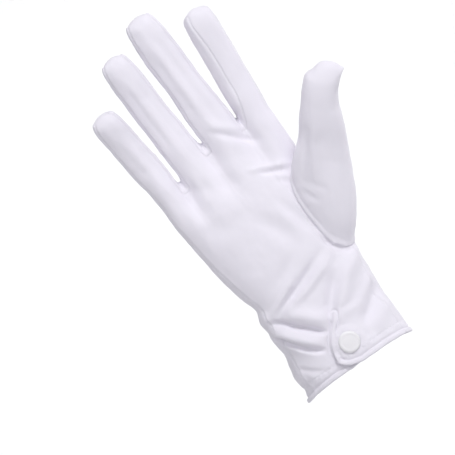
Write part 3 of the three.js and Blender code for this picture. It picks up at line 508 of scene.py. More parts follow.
def hem_lift(out, z):
    """Rise of the hem at a height: out is -1 at the middle of the palm side."""
    return HEM_LIFT * np.clip(-out, 0, 1) * np.clip(1 - z / VENT_HEIGHT, 0, 1)


def hand_point(column, z, raised=0.0):
    """Point of the hand's outer surface, raised where one layer of cloth lies over another."""
    place = z / PALM_LENGTH
    half = table_value(SECTIONS, "width", place) / 2
    centre = table_value(SECTIONS, "centre", place) * 2 * half
    x, y = round_point(column_angle(column, z))
    depth = table_value(SECTIONS, "palm" if y < 0 else "back", place)
    top = column_root(column)
    out = vec(
        math.copysign(abs(x) ** (ROUNDNESS - 1), x) / half,
        math.copysign(abs(y) ** (ROUNDNESS - 1), y) / depth,
        0,
    )
    point = vec(centre + x * half, y * depth, z) + unit(out) * raised
    blend = smoothstep(z, KNUCKLE_START, top[2])
    point[:2] = lerp(point[:2], top[:2], blend)
    point[2] += hem_lift(y, z)
    return point


# Cloth lattice: rows of x, y, z and wall, and faces with their piece and zone
FOURCHETTES = [f"fourchette_{b['name']}_{a['name']}" for a, b in zip(FINGERS, FINGERS[1:])]
PIECES = ["palm_panel", "back_panel", "thumb"] + FOURCHETTES
ZONES = ["hand", "flap", "underlap", "thumb"]
points = []
faces = []


def add_point(position, wall=WALL):
    points.append([*position, wall])
    return len(points) - 1


def add_face(piece, zone, *corners):
    faces.append((PIECES.index(piece), ZONES.index(zone), corners))


def place_of(index):
    return np.array(points[index][:3])


def wall_at(z):
    return HEM_WALL if z <= HEM_HEIGHT + TINY else WALL


def row_height(row, column):
    """Height of a row at a column, before the thumb opening bends it."""
    rows = [0, HEM_ROWS, VENT_ROW, HOLE_ROW, HOLE_ROW_END, TOP_ROW]
    hole_top = THUMB_HOLE_FOOT + THUMB_HOLE_HEIGHT
    heights = [EDGE_ROLL, HEM_HEIGHT, VENT_HEIGHT, THUMB_HOLE_FOOT, hole_top, column_root(column)[2]]
    return float(np.interp(row, rows, heights))


def hole_place(column, row):
    """Place relative to the thumb opening: -1 to 1 across and up inside it."""
    middle = (HOLE_ROW + HOLE_ROW_END) / 2
    return (column - PALM_LAST) / SIDE_STEPS, (row - middle) / (HOLE_ROWS / 2)


def bend_round_hole(column, row):
    """Rounds the thumb opening and eases the lattice round it."""
    p, q = hole_place(column, row)
    ring = max(abs(p), abs(q))
    z = row_height(row, column)
    ease = clamp(1 - (ring - 1) / HOLE_EASE, 0, 1)
    if ease == 0:
        return column, z
    a, b = p / ring, q / ring
    size = round_size(a, b, HOLE_ROUNDNESS)
    stretch = 1 + HOLE_PALM_STRETCH * max(0, -a)
    shift_p = (stretch * a / size - a) * ease
    shift_q = (b / size - b) * ease
    return column + shift_p * SIDE_STEPS, z + shift_q * THUMB_HOLE_HEIGHT / 2


def inside_hole(column, row):
    p, q = hole_place(column, row)
    return max(abs(p), abs(q)) < 1 - TINY


def hand_index(column, row):
    """Adds a point of the hand, unless it is inside the thumb opening."""
    if inside_hole(column, row):
        return None
    bent, z = bend_round_hole(column, row)
    return add_point(hand_point(bent, z), wall_at(z))


def flap_index(column, row):
    """Adds a point of the vent's flap, raised over the strip below it, or gives the hand's own."""
    past = column - VENT_COLUMN
    ease = 1 - smoothstep(past, UNDERLAP_COLUMNS, UNDERLAP_COLUMNS + FLAP_EASE_COLUMNS)
    if ease == 0:
        return hand[row][column]
    flap_width = CUFF_WIDTH * (CUFF_SEAM_SHARE - VENT_LINE[0]["across"]) / 2
    across = past * flap_width / (PALM_LAST - VENT_COLUMN)
    plain = row_height(row, column)
    inset = max(0, FLAP_CORNER - across)
    corner = FLAP_CORNER - math.sqrt(FLAP_CORNER ** 2 - inset ** 2)
    corner += FLAP_CLIMB * max(0, FLAP_CLIMB_WIDTH - across)
    z = plain + corner * clamp(1 - plain / FLAP_CORNER_FADE, 0, 1)
    raised = (wall_at(plain) + LAYER_GAP) * ease
    return add_point(hand_point(column, z, raised), wall_at(plain))


hand = [[hand_index(column, row) for column in range(COLUMNS)] for row in range(TOP_ROW + 1)]
flap = [[flap_index(column, row) for column in range(VENT_COLUMN, COLUMNS)] for row in range(VENT_ROW)]


def add_hand_face(row, column):
    after = (column + 1) % COLUMNS
    piece = "palm_panel" if column < PALM_LAST else "back_panel"
    on_flap = row < VENT_ROW and VENT_COLUMN <= column < PALM_LAST

    def pick(r, c):
        return flap[r][c - VENT_COLUMN] if on_flap and r < VENT_ROW else hand[r][c]

    corners = pick(row, column), pick(row, after), pick(row + 1, after), pick(row + 1, column)
    add_face(piece, "flap" if on_flap else "hand", *corners)


for row in range(TOP_ROW):
    for column in range(COLUMNS):
        if not inside_hole(column + 0.5, row + 0.5):
            add_hand_face(row, column)

# Strip of the palm that carries on under the flap
for row in range(VENT_ROW - 1):
    for column in range(VENT_COLUMN, VENT_COLUMN + UNDERLAP_COLUMNS):
        add_face("palm_panel", "underlap", hand[row][column], hand[row][column + 1],
                 hand[row + 1][column + 1], hand[row + 1][column])

# Ring of a finger: palm seam to seam, far side, back, near side
RING_STEPS = 2 * (FACE_STEPS + SIDE_STEPS)
RIGHT_SIDE = FACE_STEPS
BACK_SIDE = FACE_STEPS + SIDE_STEPS
LEFT_SIDE = 2 * FACE_STEPS + SIDE_STEPS


def ring_angle(step):
    seam = -palm_angle(SEAM_SHARE)
    if step <= RIGHT_SIDE:
        return palm_angle(finger_share(step))
    if step < BACK_SIDE:
        return lerp(-seam, seam, (step - RIGHT_SIDE) / SIDE_STEPS)
    if step <= LEFT_SIDE:
        return -palm_angle(finger_share(LEFT_SIDE - step))
    return lerp(math.pi - seam, math.pi + seam, (step - LEFT_SIDE) / SIDE_STEPS)


def finger_frame(root, share):
    """Directions across and through a finger."""
    along = unit(root["tip"] - root["centre"])
    bent = unit(vec(along[0], along[1] * 2 * share, along[2]))
    square = unit(np.cross(vec(0, 1, 0), bent))
    slope = unit(root["right"] - root["left"])
    across = unit(lerp(slope, square, smoothstep(share, 0, RING_SQUARE)))
    return across, unit(np.cross(bent, across))


def finger_centre(root, share):
    centre = lerp(root["centre"], root["tip"], share)
    centre[1] = root["tip"][1] * share * share
    return centre


def finger_point(finger, root, ring, step):
    across, through = finger_frame(root, ring["at"])
    ease = smoothstep(ring["at"], 0, RING_FULL)
    half = lerp(root["half"], finger["width"] * FINGER_WIDTH / 2, ease) * ring["width"]
    depth = FINGER_DEPTH / 2 * ring["depth"] * lerp(1, finger["width"], ease)
    x, y = round_point(ring_angle(step) + math.radians(finger["twist"]) * ring["turn"])
    return finger_centre(root, ring["at"]) + across * x * half + through * y * depth


def root_ring(index):
    """First ring of a finger: points shared with the hand, and inner side points of its own."""
    root = ROOTS[index]
    first = index * PITCH
    ring = []
    for step in range(RING_STEPS):
        if step <= RIGHT_SIDE:
            ring.append(hand[TOP_ROW][first + step])
        elif index == len(FINGERS) - 1 and step < BACK_SIDE:
            ring.append(hand[TOP_ROW][PALM_LAST + step - RIGHT_SIDE])
        elif index == 0 and step > LEFT_SIDE:
            ring.append(hand[TOP_ROW][BACK_LAST + step - LEFT_SIDE])
        elif BACK_SIDE <= step <= LEFT_SIDE:
            ring.append(hand[TOP_ROW][BACK_LAST - first - FACE_STEPS + step - BACK_SIDE])
        else:
            x, y = round_point(ring_angle(step))
            crotch = root["right" if step < BACK_SIDE else "left"]
            z = crotch[2] + WEB_WIDTH / 2
            ring.append(add_point(vec(root["centre"][0] + x * root["half"], y * FINGER_DEPTH / 2, z)))
    return ring


def ring_piece(index, step):
    if step < RIGHT_SIDE:
        return "palm_panel"
    if step < BACK_SIDE:
        return FOURCHETTES[index] if index < len(FOURCHETTES) else "back_panel"
    if step < LEFT_SIDE:
        return "back_panel"
    return FOURCHETTES[index - 1] if index > 0 else "back_panel"


def tip_seam(finger, root):
    across, through = finger_frame(root, 1)
    turn = math.radians(finger["twist"]) * TIP_TURN
    reach = TIP_SEAM_SHARE * finger["width"] * FINGER_WIDTH / 2
    seam = []
    for step in range(FACE_STEPS + 1):
        share = 2 * step / FACE_STEPS - 1
        point = root["tip"] + across * share * reach * math.cos(turn)
        point = point + through * share * reach * math.sin(turn)
        point[2] -= TIP_SEAM_DROOP * share * share
        seam.append(add_point(point))
    return seam


def add_band(below, above, zone, piece_of):
    """Faces between two rings of points."""
    for step in range(len(below)):
        after = (step + 1) % len(below)
        add_face(piece_of(step), zone, below[step], below[after], above[after], above[step])


def close_tip(ring, seam, zone, piece_of, corners, places):
    """Faces from a tip's last ring to the seam across it. The seam's ends lie at these corners
    of the ring, at these places along the seam."""
    for step in range(len(ring)):
        after = (step + 1) % len(ring)
        here, there = (round(np.interp(k, corners, places)) for k in (step, after))
        edge = [seam[there]] if there == here else [seam[there], seam[here]]
        add_face(piece_of(step), zone, ring[step], ring[after], *edge)


def add_finger(index):
    finger, root = FINGERS[index], ROOTS[index]
    below = root_rings[index]

    def piece_of(step):
        return ring_piece(index, step)

    for ring in FINGER_RINGS:
        above = [add_point(finger_point(finger, root, ring, step)) for step in range(RING_STEPS)]
        add_band(below, above, "hand", piece_of)
        below = above
    close_tip(below, tip_seam(finger, root), "hand", piece_of,
              [0, RIGHT_SIDE, BACK_SIDE, LEFT_SIDE, RING_STEPS], [0, FACE_STEPS, FACE_STEPS, 0, 0])


def add_web(gap):
    """Bottom of the strip between two fingers."""
    piece = FOURCHETTES[gap]
    palm_column = gap * PITCH + FACE_STEPS + 1
    palm_middle = hand[TOP_ROW][palm_column]
    middle = [palm_middle]
    for step in range(1, SIDE_STEPS):
        y = round_point(ring_angle(RIGHT_SIDE + step))[1]
        x = place_of(palm_middle)[0]
        middle.append(add_point(vec(x, y * FINGER_DEPTH / 2, ROOTS[gap]["right"][2])))
    middle.append(hand[TOP_ROW][BACK_LAST - palm_column])
    left, right = root_rings[gap], root_rings[gap + 1]
    for step in range(SIDE_STEPS):
        near, far = right[-step % RING_STEPS], right[-step - 1]
        add_face(piece, "hand", left[RIGHT_SIDE + step], middle[step], middle[step + 1],
                 left[RIGHT_SIDE + step + 1])
        add_face(piece, "hand", middle[step], near, far, middle[step + 1])


root_rings = [root_ring(index) for index in range(len(FINGERS))]
for index in range(len(FINGERS)):
    add_finger(index)
for gap in range(len(FOURCHETTES)):
    add_web(gap)

# Thumb: its ring starts on the edge of the opening, at the lower palm corner
thumb_ring = [(c, HOLE_ROW) for c in range(HOLE_COLUMN, HOLE_COLUMN_END)]
thumb_ring += [(HOLE_COLUMN_END, r) for r in range(HOLE_ROW, HOLE_ROW_END)]
thumb_ring += [(c, HOLE_ROW_END) for c in range(HOLE_COLUMN_END, HOLE_COLUMN, -1)]
thumb_ring += [(HOLE_COLUMN, r) for r in range(HOLE_ROW_END, HOLE_ROW, -1)]
thumb_start = np.mean([place_of(hand[r][c]) for c, r in thumb_ring], axis=0)
thumb_axis = vec(
    math.sin(THUMB_LEAN) * math.cos(THUMB_FORWARD),
    -math.sin(THUMB_FORWARD),
    math.cos(THUMB_LEAN) * math.cos(THUMB_FORWARD),
)
thumb_lower = unit(np.cross(vec(0, 1, 0), thumb_axis))
thumb_front = unit(np.cross(thumb_lower, thumb_axis))


def thumb_point(column, row, ring):
    p, q = hole_place(column, row)
    size = round_size(p, q, ROUNDNESS)
    across = ring["shift"] - q / size * ring["width"] / 2
    point = thumb_start + thumb_axis * ring["at"] * THUMB_LENGTH + thumb_lower * across * THUMB_WIDTH
    return point - thumb_front * p / size * THUMB_DEPTH / 2 * ring["depth"]


def thumb_root_point(column, row, share):
    """Curve from the opening's edge to the first free ring of the thumb."""
    start = place_of(hand[row][column])
    end = thumb_point(column, row, THUMB_ROOT_TOP)
    out = start - thumb_start
    out = out - thumb_axis * dot(out, thumb_axis)
    reach = np.linalg.norm(end - start) * THUMB_ROOT_CURVE["reach"]
    lower = thumb_lower * max(0, dot(out, thumb_lower))
    first = start + thumb_axis * reach + out * THUMB_ROOT_CURVE["flare"]
    first = first + lower * THUMB_ROOT_CURVE["start_bulge"]
    second = end - thumb_axis * reach + lower * THUMB_ROOT_CURVE["end_bulge"]
    rest = 1 - share
    return (start * rest ** 3 + first * 3 * share * rest ** 2
            + second * 3 * share ** 2 * rest + end * share ** 3)


def add_thumb():
    def piece_of(_):
        return "thumb"

    rings = []
    for i in range(1, THUMB_ROOT_RINGS + 1):
        rings.append([thumb_root_point(c, r, i / THUMB_ROOT_RINGS) for c, r in thumb_ring])
    for ring in THUMB_RINGS:
        rings.append([thumb_point(c, r, ring) for c, r in thumb_ring])
    below = [hand[r][c] for c, r in thumb_ring]
    for ring in rings:
        above = [add_point(point) for point in ring]
        add_band(below, above, "thumb", piece_of)
        below = above
    seam = []
    for share in np.linspace(1, -1, HOLE_ROWS + 1):
        reach = share * THUMB_TIP["lower" if share > 0 else "upper"] / 2
        along = THUMB_LENGTH - THUMB_TIP["droop"] * THUMB_WIDTH * share * share
        across = (THUMB_TIP["shift"] + reach) * THUMB_WIDTH
        seam.append(add_point(thumb_start + thumb_axis * along + thumb_lower * across))
    width = HOLE_COLUMN_END - HOLE_COLUMN
    corners = np.cumsum([0, width, HOLE_ROWS, width, HOLE_ROWS])
    close_tip(below, seam, "thumb", piece_of, corners, [0, 0, HOLE_ROWS, HOLE_ROWS, 0])


add_thumb()


def gather(values, index, count):
    """Sums rows of values by index."""
    return np.stack([np.bincount(index, column, count) for column in values.T], axis=1)


def refine(rows, net):
    """One Catmull-Clark step. The old points come first, then one for each edge and each face."""
    loops, sizes, tags = net["loops"], net["sizes"], net["tags"]
    count = len(rows)
    face_of = np.repeat(np.arange(len(sizes)), sizes)
    starts = np.cumsum(sizes) - sizes
    after = np.arange(len(loops)) + 1
    after[starts + sizes - 1] = starts
    before = np.empty_like(after)
    before[after] = np.arange(len(loops))
    face_rows = gather(rows[loops], face_of, len(sizes)) / sizes[:, None]
    pairs = np.sort(np.stack([loops, loops[after]], axis=1), axis=1)
    codes, edge_of = np.unique(pairs[:, 0] * count + pairs[:, 1], return_inverse=True)
    edges = np.stack([codes // count, codes % count], axis=1)
    free = np.bincount(edge_of, minlength=len(edges)) == 1
    middles = rows[edges].mean(axis=1)
    beside = gather(face_rows[face_of], edge_of, len(edges))
    edge_rows = np.where(free[:, None], middles, (middles * 2 + beside) / 4)
    ends = edges.ravel()
    valence = np.maximum(np.bincount(ends, minlength=count), 1)[:, None]
    touching = np.maximum(np.bincount(loops, minlength=count), 1)[:, None]
    around = gather(face_rows[face_of], loops, count) / touching
    spokes = gather(np.repeat(middles, 2, axis=0), ends, count) / valence
    moved = (around + 2 * spokes + (valence - 3) * rows) / valence
    rim = edges[free]
    sides = gather(rows[rim[:, 1]], rim[:, 0], count) + gather(rows[rim[:, 0]], rim[:, 1], count)
    on_rim = np.bincount(rim.ravel(), minlength=count) > 0
    moved = np.where(on_rim[:, None], 0.75 * rows + sides / 8, moved)
    face_points = count + len(edges) + face_of
    quads = np.stack([loops, count + edge_of, face_points, count + edge_of[before]], axis=1)
    finer = {
        "loops": quads.ravel(),
        "sizes": np.full(len(quads), 4),
        "tags": tags[face_of],
        "quads": quads,
        "codes": codes,
        "coarse": count,
    }
    return np.concatenate([moved, edge_rows, face_rows]), finer


def middle_points(finer, a, b):
    """Points that a step put on the edges between two rows of older points."""
    codes = np.minimum(a, b) * finer["coarse"] + np.maximum(a, b)
    return finer["coarse"] + np.searchsorted(finer["codes"], codes)


net = {
    "loops": np.array([corner for _, _, corners in faces for corner in corners]),
    "sizes": np.array([len(corners) for _, _, corners in faces]),
    "tags": np.array([(piece, zone) for piece, zone, _ in faces]),
}
target = np.array(points)

# The lattice is swollen first, so that the refined surface passes through its points
control = target.copy()
for _ in range(SWELL_ROUNDS):
    reached, trial = control, net
    for _ in range(INNER_LEVEL):
        reached, trial = refine(reached, trial)
    control += target - reached[:len(target)]

levels = [(control, net)]
for _ in range(OUTER_LEVEL):
    levels.append(refine(*levels[-1]))
rows, fine = levels[OUTER_LEVEL]
coarse_quads = levels[INNER_LEVEL][1]["quads"]
coarse_tags = levels[INNER_LEVEL][1]["tags"]
quads, tags = fine["quads"], fine["tags"]
spots = rows[:, :3].copy()
walls = rows[:, 3].copy()


def normals_of(places):
    """Normals of the whole surface."""
    corners = places[quads]
    turned = np.cross(corners[:, 2] - corners[:, 0], corners[:, 3] - corners[:, 1])
    return unit(gather(np.repeat(turned, 4, axis=0), quads.ravel(), len(places)))


def in_zone(name):
    """Which points touch a face of this zone."""
    hit = np.zeros(len(spots), bool)
    hit[quads[tags[:, 1] == ZONES.index(name)].ravel()] = True
    return hit


def smooth_line(line, steps=8):
    """Points along a smooth curve through the points of a line."""
    line = np.array(line, float)
    padded = np.concatenate([[2 * line[0] - line[1]], line, [2 * line[-1] - line[-2]]])
    made = []
    for i in range(len(line) - 1):
        a, b, c, d = padded[i:i + 4]
        for t in np.arange(steps) / steps:
            made.append(0.5 * (2 * b + (c - a) * t + (2 * a - 5 * b + 4 * c - d) * t * t
                               + (3 * b - a - 3 * c + d) * t ** 3))
    return np.array([*made, line[-1]])


def line_distance(places, line):
    """Distance of flat places to a broken line, and the share along it of the nearest spot."""
    lengths = np.linalg.norm(np.diff(line, axis=0), axis=1)
    starts = np.concatenate([[0], np.cumsum(lengths)])
    best = np.full(len(places), np.inf)
    share = np.zeros(len(places))
    for a, b, length, start in zip(line, line[1:], lengths, starts):
        t = np.clip((places - a) @ (b - a) / length ** 2, 0, 1)
        away = np.linalg.norm(places - (a + t[:, None] * (b - a)), axis=1)
        nearer = away < best
        best[nearer] = away[nearer]
        share[nearer] = ((start + t * length) / starts[-1])[nearer]
    return best, share


# Shares of a fold's line past its ends, of a finger's length at which its frame is taken and over
# which its folds end, and of its half width out to which they reach
FOLD_OVERRUN = 0.02
FOLD_FRAME = 0.6
FOLD_EASE = 0.2
FOLD_REACH = 1.5
FOLD_REACH_EASE = 0.4
# How far a normal has to turn to a side, from nothing to full, and the height of the side waves
FACE_TURN = (0.05, 0.6)
FINGER_TURN = (0.1, 0.7)
SIDE_TURN = (0.25, 0.95)
WAVE_TOP = 0.09


def fold_heights(folds, places):
    total = np.zeros(len(places))
    for fold in folds:
        away, share = line_distance(places, smooth_line(np.multiply(fold["line"], MM)))
        fade = smoothstep(share, -FOLD_OVERRUN, fold["fade"])
        fade = fade * smoothstep(1 - share, -FOLD_OVERRUN, fold["fade"])
        total += fold["height"] * MM * fade * np.exp(-(away / (fold["width"] * MM)) ** 2)
    return total


def finger_fold_heights(places, normals):
    total = np.zeros(len(places))
    for finger, root in zip(FINGERS, ROOTS):
        axis = root["tip"] - root["centre"]
        share = (places - root["centre"]) @ axis / (axis @ axis)
        across, through = finger_frame(root, FOLD_FRAME)
        middle = root["centre"] + share[:, None] * axis
        middle[:, 1] = root["tip"][1] * np.clip(share, 0, 1) ** 2
        half = finger["width"] * FINGER_WIDTH / 2
        sideways = (places - middle) @ across
        near = smoothstep(half * FOLD_REACH - np.abs(sideways), 0, half * FOLD_REACH_EASE)
        for fold in FINGER_FOLDS:
            if fold["finger"] != finger["name"]:
                continue
            line = lerp(fold["at_root"], fold["at_tip"], np.clip(share, 0, 1)) * half
            away = (sideways - line) / (fold["width"] * MM)
            ends = smoothstep(share, fold["start"], fold["start"] + FOLD_EASE)
            ends = ends * smoothstep(fold["end"] - share, 0, FOLD_EASE)
            facing = smoothstep(fold["side"] * (normals @ through), *FINGER_TURN)
            total += fold["height"] * MM * np.exp(-away ** 2) * ends * facing * near
    return total


def side_wave_heights(places, normals):
    total = np.zeros(len(places))
    for wave in SIDE_WAVES:
        facing = smoothstep(wave["side"] * normals[:, 0], *SIDE_TURN)
        away = (places[:, 2] - wave["up"] * MM) / (wave["width"] * MM)
        total += wave["height"] * MM * facing * np.exp(-away ** 2)
    return total * (places[:, 2] < WAVE_TOP)


def noise_heights(places, pitch, offset):
    """Smooth noise between -1 and 1, the same on every run."""
    shift = Vector(offset)
    return np.array([noise.noise(Vector(place) / pitch + shift) for place in places])


# Soft folds
normals = normals_of(spots)
flat = spots[:, [0, 2]]
palm_side = smoothstep(-normals[:, 1], *FACE_TURN)
back_side = smoothstep(normals[:, 1], *FACE_TURN)
thumb_points = in_zone("thumb")
height = fold_heights(PALM_FOLDS, flat) * palm_side * ~thumb_points
height += fold_heights(THUMB_FOLDS, flat) * palm_side * thumb_points
height += fold_heights(BACK_FOLDS, flat) * back_side * ~thumb_points
height += side_wave_heights(spots, normals)
height += finger_fold_heights(spots, normals) * ~thumb_points
for wrinkle in WRINKLES:
    height += wrinkle["height"] * MM * noise_heights(spots, wrinkle["pitch"] * MM, wrinkle["offset"])
spots += normals * height[:, None]


def sides_of(cells):
    """Sides of quads, as pairs of points."""
    return np.concatenate([cells[:, [k, (k + 1) % 4]] for k in range(4)])


def codes_of(pairs):
    """One number for each pair of points."""
    return pairs @ np.array([len(spots), 1])


def points_of(codes):
    return np.unique(np.stack([codes // len(spots), codes % len(spots)]))


# Edges: seams where two pieces meet, and free edges
side_codes = codes_of(np.sort(sides_of(quads), axis=1))
order = np.argsort(side_codes, kind="stable")
sorted_codes, sorted_tags = side_codes[order], np.tile(tags[:, 0], 4)[order]
same = sorted_codes[1:] == sorted_codes[:-1]
seam_points = points_of(sorted_codes[1:][same & (sorted_tags[1:] != sorted_tags[:-1])])
alone = np.ones(len(sorted_codes), bool)
alone[1:] &= ~same
alone[:-1] &= ~same
free_codes = sorted_codes[alone]
free_points = points_of(free_codes)


def distance_to(chosen, limit):
    """Distance of every point to the nearest chosen point, up to a limit."""
    tree = kdtree.KDTree(len(chosen))
    for place in spots[chosen]:
        tree.insert(place, 0)
    tree.balance()
    return np.array([min(tree.find(place)[2], limit) for place in spots])


EDGE_REACH = 0.006
seam_away = distance_to(seam_points, EDGE_REACH)
shown_free = free_points[~in_zone("underlap")[free_points]]
free_away = distance_to(shown_free, EDGE_REACH)

# Seams: a narrow groove with a soft roll on both sides, gathered unevenly by the thread
normals = normals_of(spots)
gathers = noise_heights(spots, GATHER_PITCH, GATHER_OFFSET)


def relief(name, away):
    """Height of a ridge or a groove at these distances from its line."""
    height, gathered, place, width = (value * MM for value in RELIEF[name])
    return (height + gathered * gathers) * np.exp(-((away - place) / width) ** 2)


height = relief("seam groove", seam_away) + relief("seam roll", seam_away)

# The thumb's own edge lies over the palm's and the back's, rolled and sewn
THUMB_EDGE = 0.0007
THUMB_EDGE_GATHER = 0.00012
THUMB_EDGE_WIDTH = 0.0012
on_thumb = thumb_points & ~np.isin(np.arange(len(spots)), seam_points)
edge_fade = np.exp(-(seam_away / THUMB_EDGE_WIDTH) ** 4)
edge_height = (THUMB_EDGE + THUMB_EDGE_GATHER * gathers) * edge_fade
height += on_thumb * (edge_height + relief("thumb groove", seam_away))
beside_thumb = distance_to(np.intersect1d(seam_points, np.flatnonzero(thumb_points)), EDGE_REACH)
height += ~thumb_points * relief("beside thumb", beside_thumb)

# Free edges are turned in and sewn: a roll with a groove beside it
FREE_ROLL = 0.00036
FREE_ROLL_GATHER = 0.00010
FREE_ROLL_END = (0.0013, 0.0021)
roll = 1 - smoothstep(free_away, *FREE_ROLL_END)
height += (FREE_ROLL + FREE_ROLL_GATHER * gathers) * roll + relief("free groove", free_away)

# Raised lines on the back, each with a groove on both sides
POINT_GATHER = 0.08
POINT_SQUARENESS = 0.7
POINT_GROOVE = 0.00028
POINT_GROOVE_PLACE = 1.25
POINT_GROOVE_WIDTH = 0.35
POINT_FACING = 0.3
POINT_END = (-0.01, 0.02)
POINT_LINES = []
for gap in range(len(FOURCHETTES)):
    column = BACK_LAST - (gap * PITCH + FACE_STEPS + 1)
    line = [target[hand[row][column]][[0, 2]] for row in range(HOLE_ROW - 2, TOP_ROW + 1)]
    POINT_LINES.append(smooth_line(line, steps=4))
for line in POINT_LINES:
    away, share = line_distance(spots[:, [0, 2]], line)
    away = away / (POINT_WIDTH / 2)
    rise = smoothstep(spots[:, 2], POINT_FOOT - POINT_START / 2, POINT_FOOT + POINT_START / 2)
    ridge = np.clip(1 - away ** 2, 0, 1) ** POINT_SQUARENESS
    groove = POINT_GROOVE * np.exp(-((away - POINT_GROOVE_PLACE) / POINT_GROOVE_WIDTH) ** 2)
    crown = POINT_HEIGHT * (1 + POINT_GATHER * gathers) * ridge - groove
    height += crown * rise * (normals[:, 1] > POINT_FACING) * smoothstep(1 - share, *POINT_END)

# Turned hem: the stitched line and the fuller cloth on both sides of it
from_stitches = spots[:, 2] - hem_lift(spots[:, 1] / (CUFF_DEPTH / 2), spots[:, 2]) - HEM_HEIGHT
near_hem = from_stitches < HEM_HEIGHT
height += near_hem * (relief("hem stitches", from_stitches) + relief("hem fullness", from_stitches))
spots += normals * height[:, None]


def disc_of(node):
    """Centre of the foot, direction, radius and height of a round CAD node."""
    places = np.array([vertex.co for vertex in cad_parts[node].data.vertices])
    middle = places.mean(axis=0)
    axis = np.linalg.svd(places - middle, full_matrices=False)[2][2]
    axis = axis * math.copysign(1, -axis[1])
    along = (places - middle) @ axis
    away = np.linalg.norm(places - middle - along[:, None] * axis, axis=1)
    return middle + axis * along.min(), axis, away.max(), along.max() - along.min()


# The snap pulls the cloth round it level with its foot, with small puckers
SEAT_EDGE = 0.0002
SEAT_EASE = 0.0050
SEAT_DEPTH = 0.00005
PUCKERS = 9
PUCKER_HEIGHT = 0.00014
PUCKER_START = 0.9
PUCKER_EDGE = 0.001
foot, snap_axis, snap_radius, _ = disc_of("snap_cap")
along = (spots - foot) @ snap_axis
beside = spots - foot - along[:, None] * snap_axis
away = np.linalg.norm(beside, axis=1)
turn = np.arctan2(beside[:, 2], beside[:, 0])
hold = 1 - smoothstep(away, snap_radius + SEAT_EDGE, snap_radius + SEAT_EASE)
hold = hold * in_zone("flap") * (normals[:, 1] < 0)
pucker = PUCKER_HEIGHT * np.cos(PUCKERS * turn + 2 * gathers)
pucker = pucker * smoothstep(away, snap_radius * PUCKER_START, snap_radius + PUCKER_EDGE)
spots += snap_axis * (hold * (pucker - SEAT_DEPTH - along))[:, None]
normals = normals_of(spots)


# Cloth pieces: an outer face, an inner face with a quarter of its polygons, and a rim
RIM_STEPS = 5
MITRE_LIMIT = 0.6
THUMB_RIM_ROLL = 0.35


def cloth_piece(name):
    number = PIECES.index(name)
    count = len(spots)
    own = quads[tags[:, 0] == number]
    sides = sides_of(own)
    rim_sides = sides[~np.isin(codes_of(sides), codes_of(sides[:, ::-1]))]
    rim, ahead = rim_sides[:, 0], rim_sides[:, 1]
    spot_of_rim = {int(point): i for i, point in enumerate(rim)}
    after = np.array([spot_of_rim[int(point)] for point in ahead])
    before = np.empty_like(after)
    before[after] = np.arange(len(after))
    free_side = np.isin(codes_of(np.sort(rim_sides, axis=1)), free_codes)
    free = free_side & free_side[before]

    facing = normals[rim]
    into_after = unit(np.cross(facing, spots[ahead] - spots[rim]))
    into_before = into_after[before]
    mitre = np.maximum(MITRE_LIMIT, 1 + dot(into_after, into_before))
    inward = (into_after + into_before) / mitre[:, None]
    proud = THUMB_EDGE if name == "thumb" else 0
    edge = spots[rim] + inward * np.where(free, 0, SEAM_GAP / 2)[:, None] + facing * proud

    used = np.unique(own)
    local = np.full(count, -1)
    local[used] = np.arange(len(used))
    outer = spots[used].copy()
    outer[local[rim]] = edge
    vertices = [outer]
    polygons = local[own].tolist()

    # Rim, rolled over where the edge is free
    last = local[rim]
    total = len(outer)
    half_wall = walls[rim][:, None] / 2 + proud / 2
    roll = np.where(free, 1.0, THUMB_RIM_ROLL if proud else 0.0)[:, None]
    for step in range(1, RIM_STEPS + 1):
        angle = math.pi * step / RIM_STEPS
        row = edge - facing * half_wall * (1 - math.cos(angle))
        vertices.append(row - inward * half_wall * roll * math.sin(angle))
        now = total + np.arange(len(rim))
        polygons += np.stack([last[after], last, now, now[after]], axis=1).tolist()
        last = now
        total += len(rim)

    # Inner face, whose outermost polygons also meet the points between its own on the rim
    on_rim = np.full(count, -1)
    on_rim[rim] = last
    coarse_own = coarse_quads[coarse_tags[:, 0] == number]
    inside = np.unique(coarse_own)
    inside = inside[on_rim[inside] < 0]
    vertices.append(spots[inside] - normals[inside] * walls[inside][:, None])
    inner = on_rim.copy()
    inner[inside] = total + np.arange(len(inside))
    middles = middle_points(fine, coarse_own, np.roll(coarse_own, -1, axis=1))
    plain = (on_rim[middles] < 0).all(axis=1)
    polygons += inner[coarse_own[plain]][:, ::-1].tolist()
    for corners, between in zip(coarse_own[~plain], middles[~plain]):
        polygon = []
        for corner, middle in zip(corners, between):
            polygon.append(int(inner[corner]))
            if on_rim[middle] >= 0:
                polygon.append(int(on_rim[middle]))
        polygons.append(polygon[::-1])
    return np.concatenate(vertices), polygons


SHARP_ANGLE = math.radians(55)


def link_new(name, data):
    made = bpy.data.objects.new(name, data)
    bpy.context.scene.collection.objects.link(made)
    return made


def link_mesh(name, vertices, polygons, material):
    mesh = bpy.data.meshes.new(name)
    mesh.from_pydata(np.asarray(vertices).tolist(), [], polygons)
    mesh.update()
    mesh.shade_smooth()
    mesh.set_sharp_from_angle(angle=SHARP_ANGLE)
    mesh.materials.append(material)
    return link_new(name, mesh)


def add_object(name, vertices, polygons, material, slot, nodes=()):
    piece = link_mesh(name, vertices, polygons, material)
    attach(piece, "root")
    if nodes:
        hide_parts(*nodes)


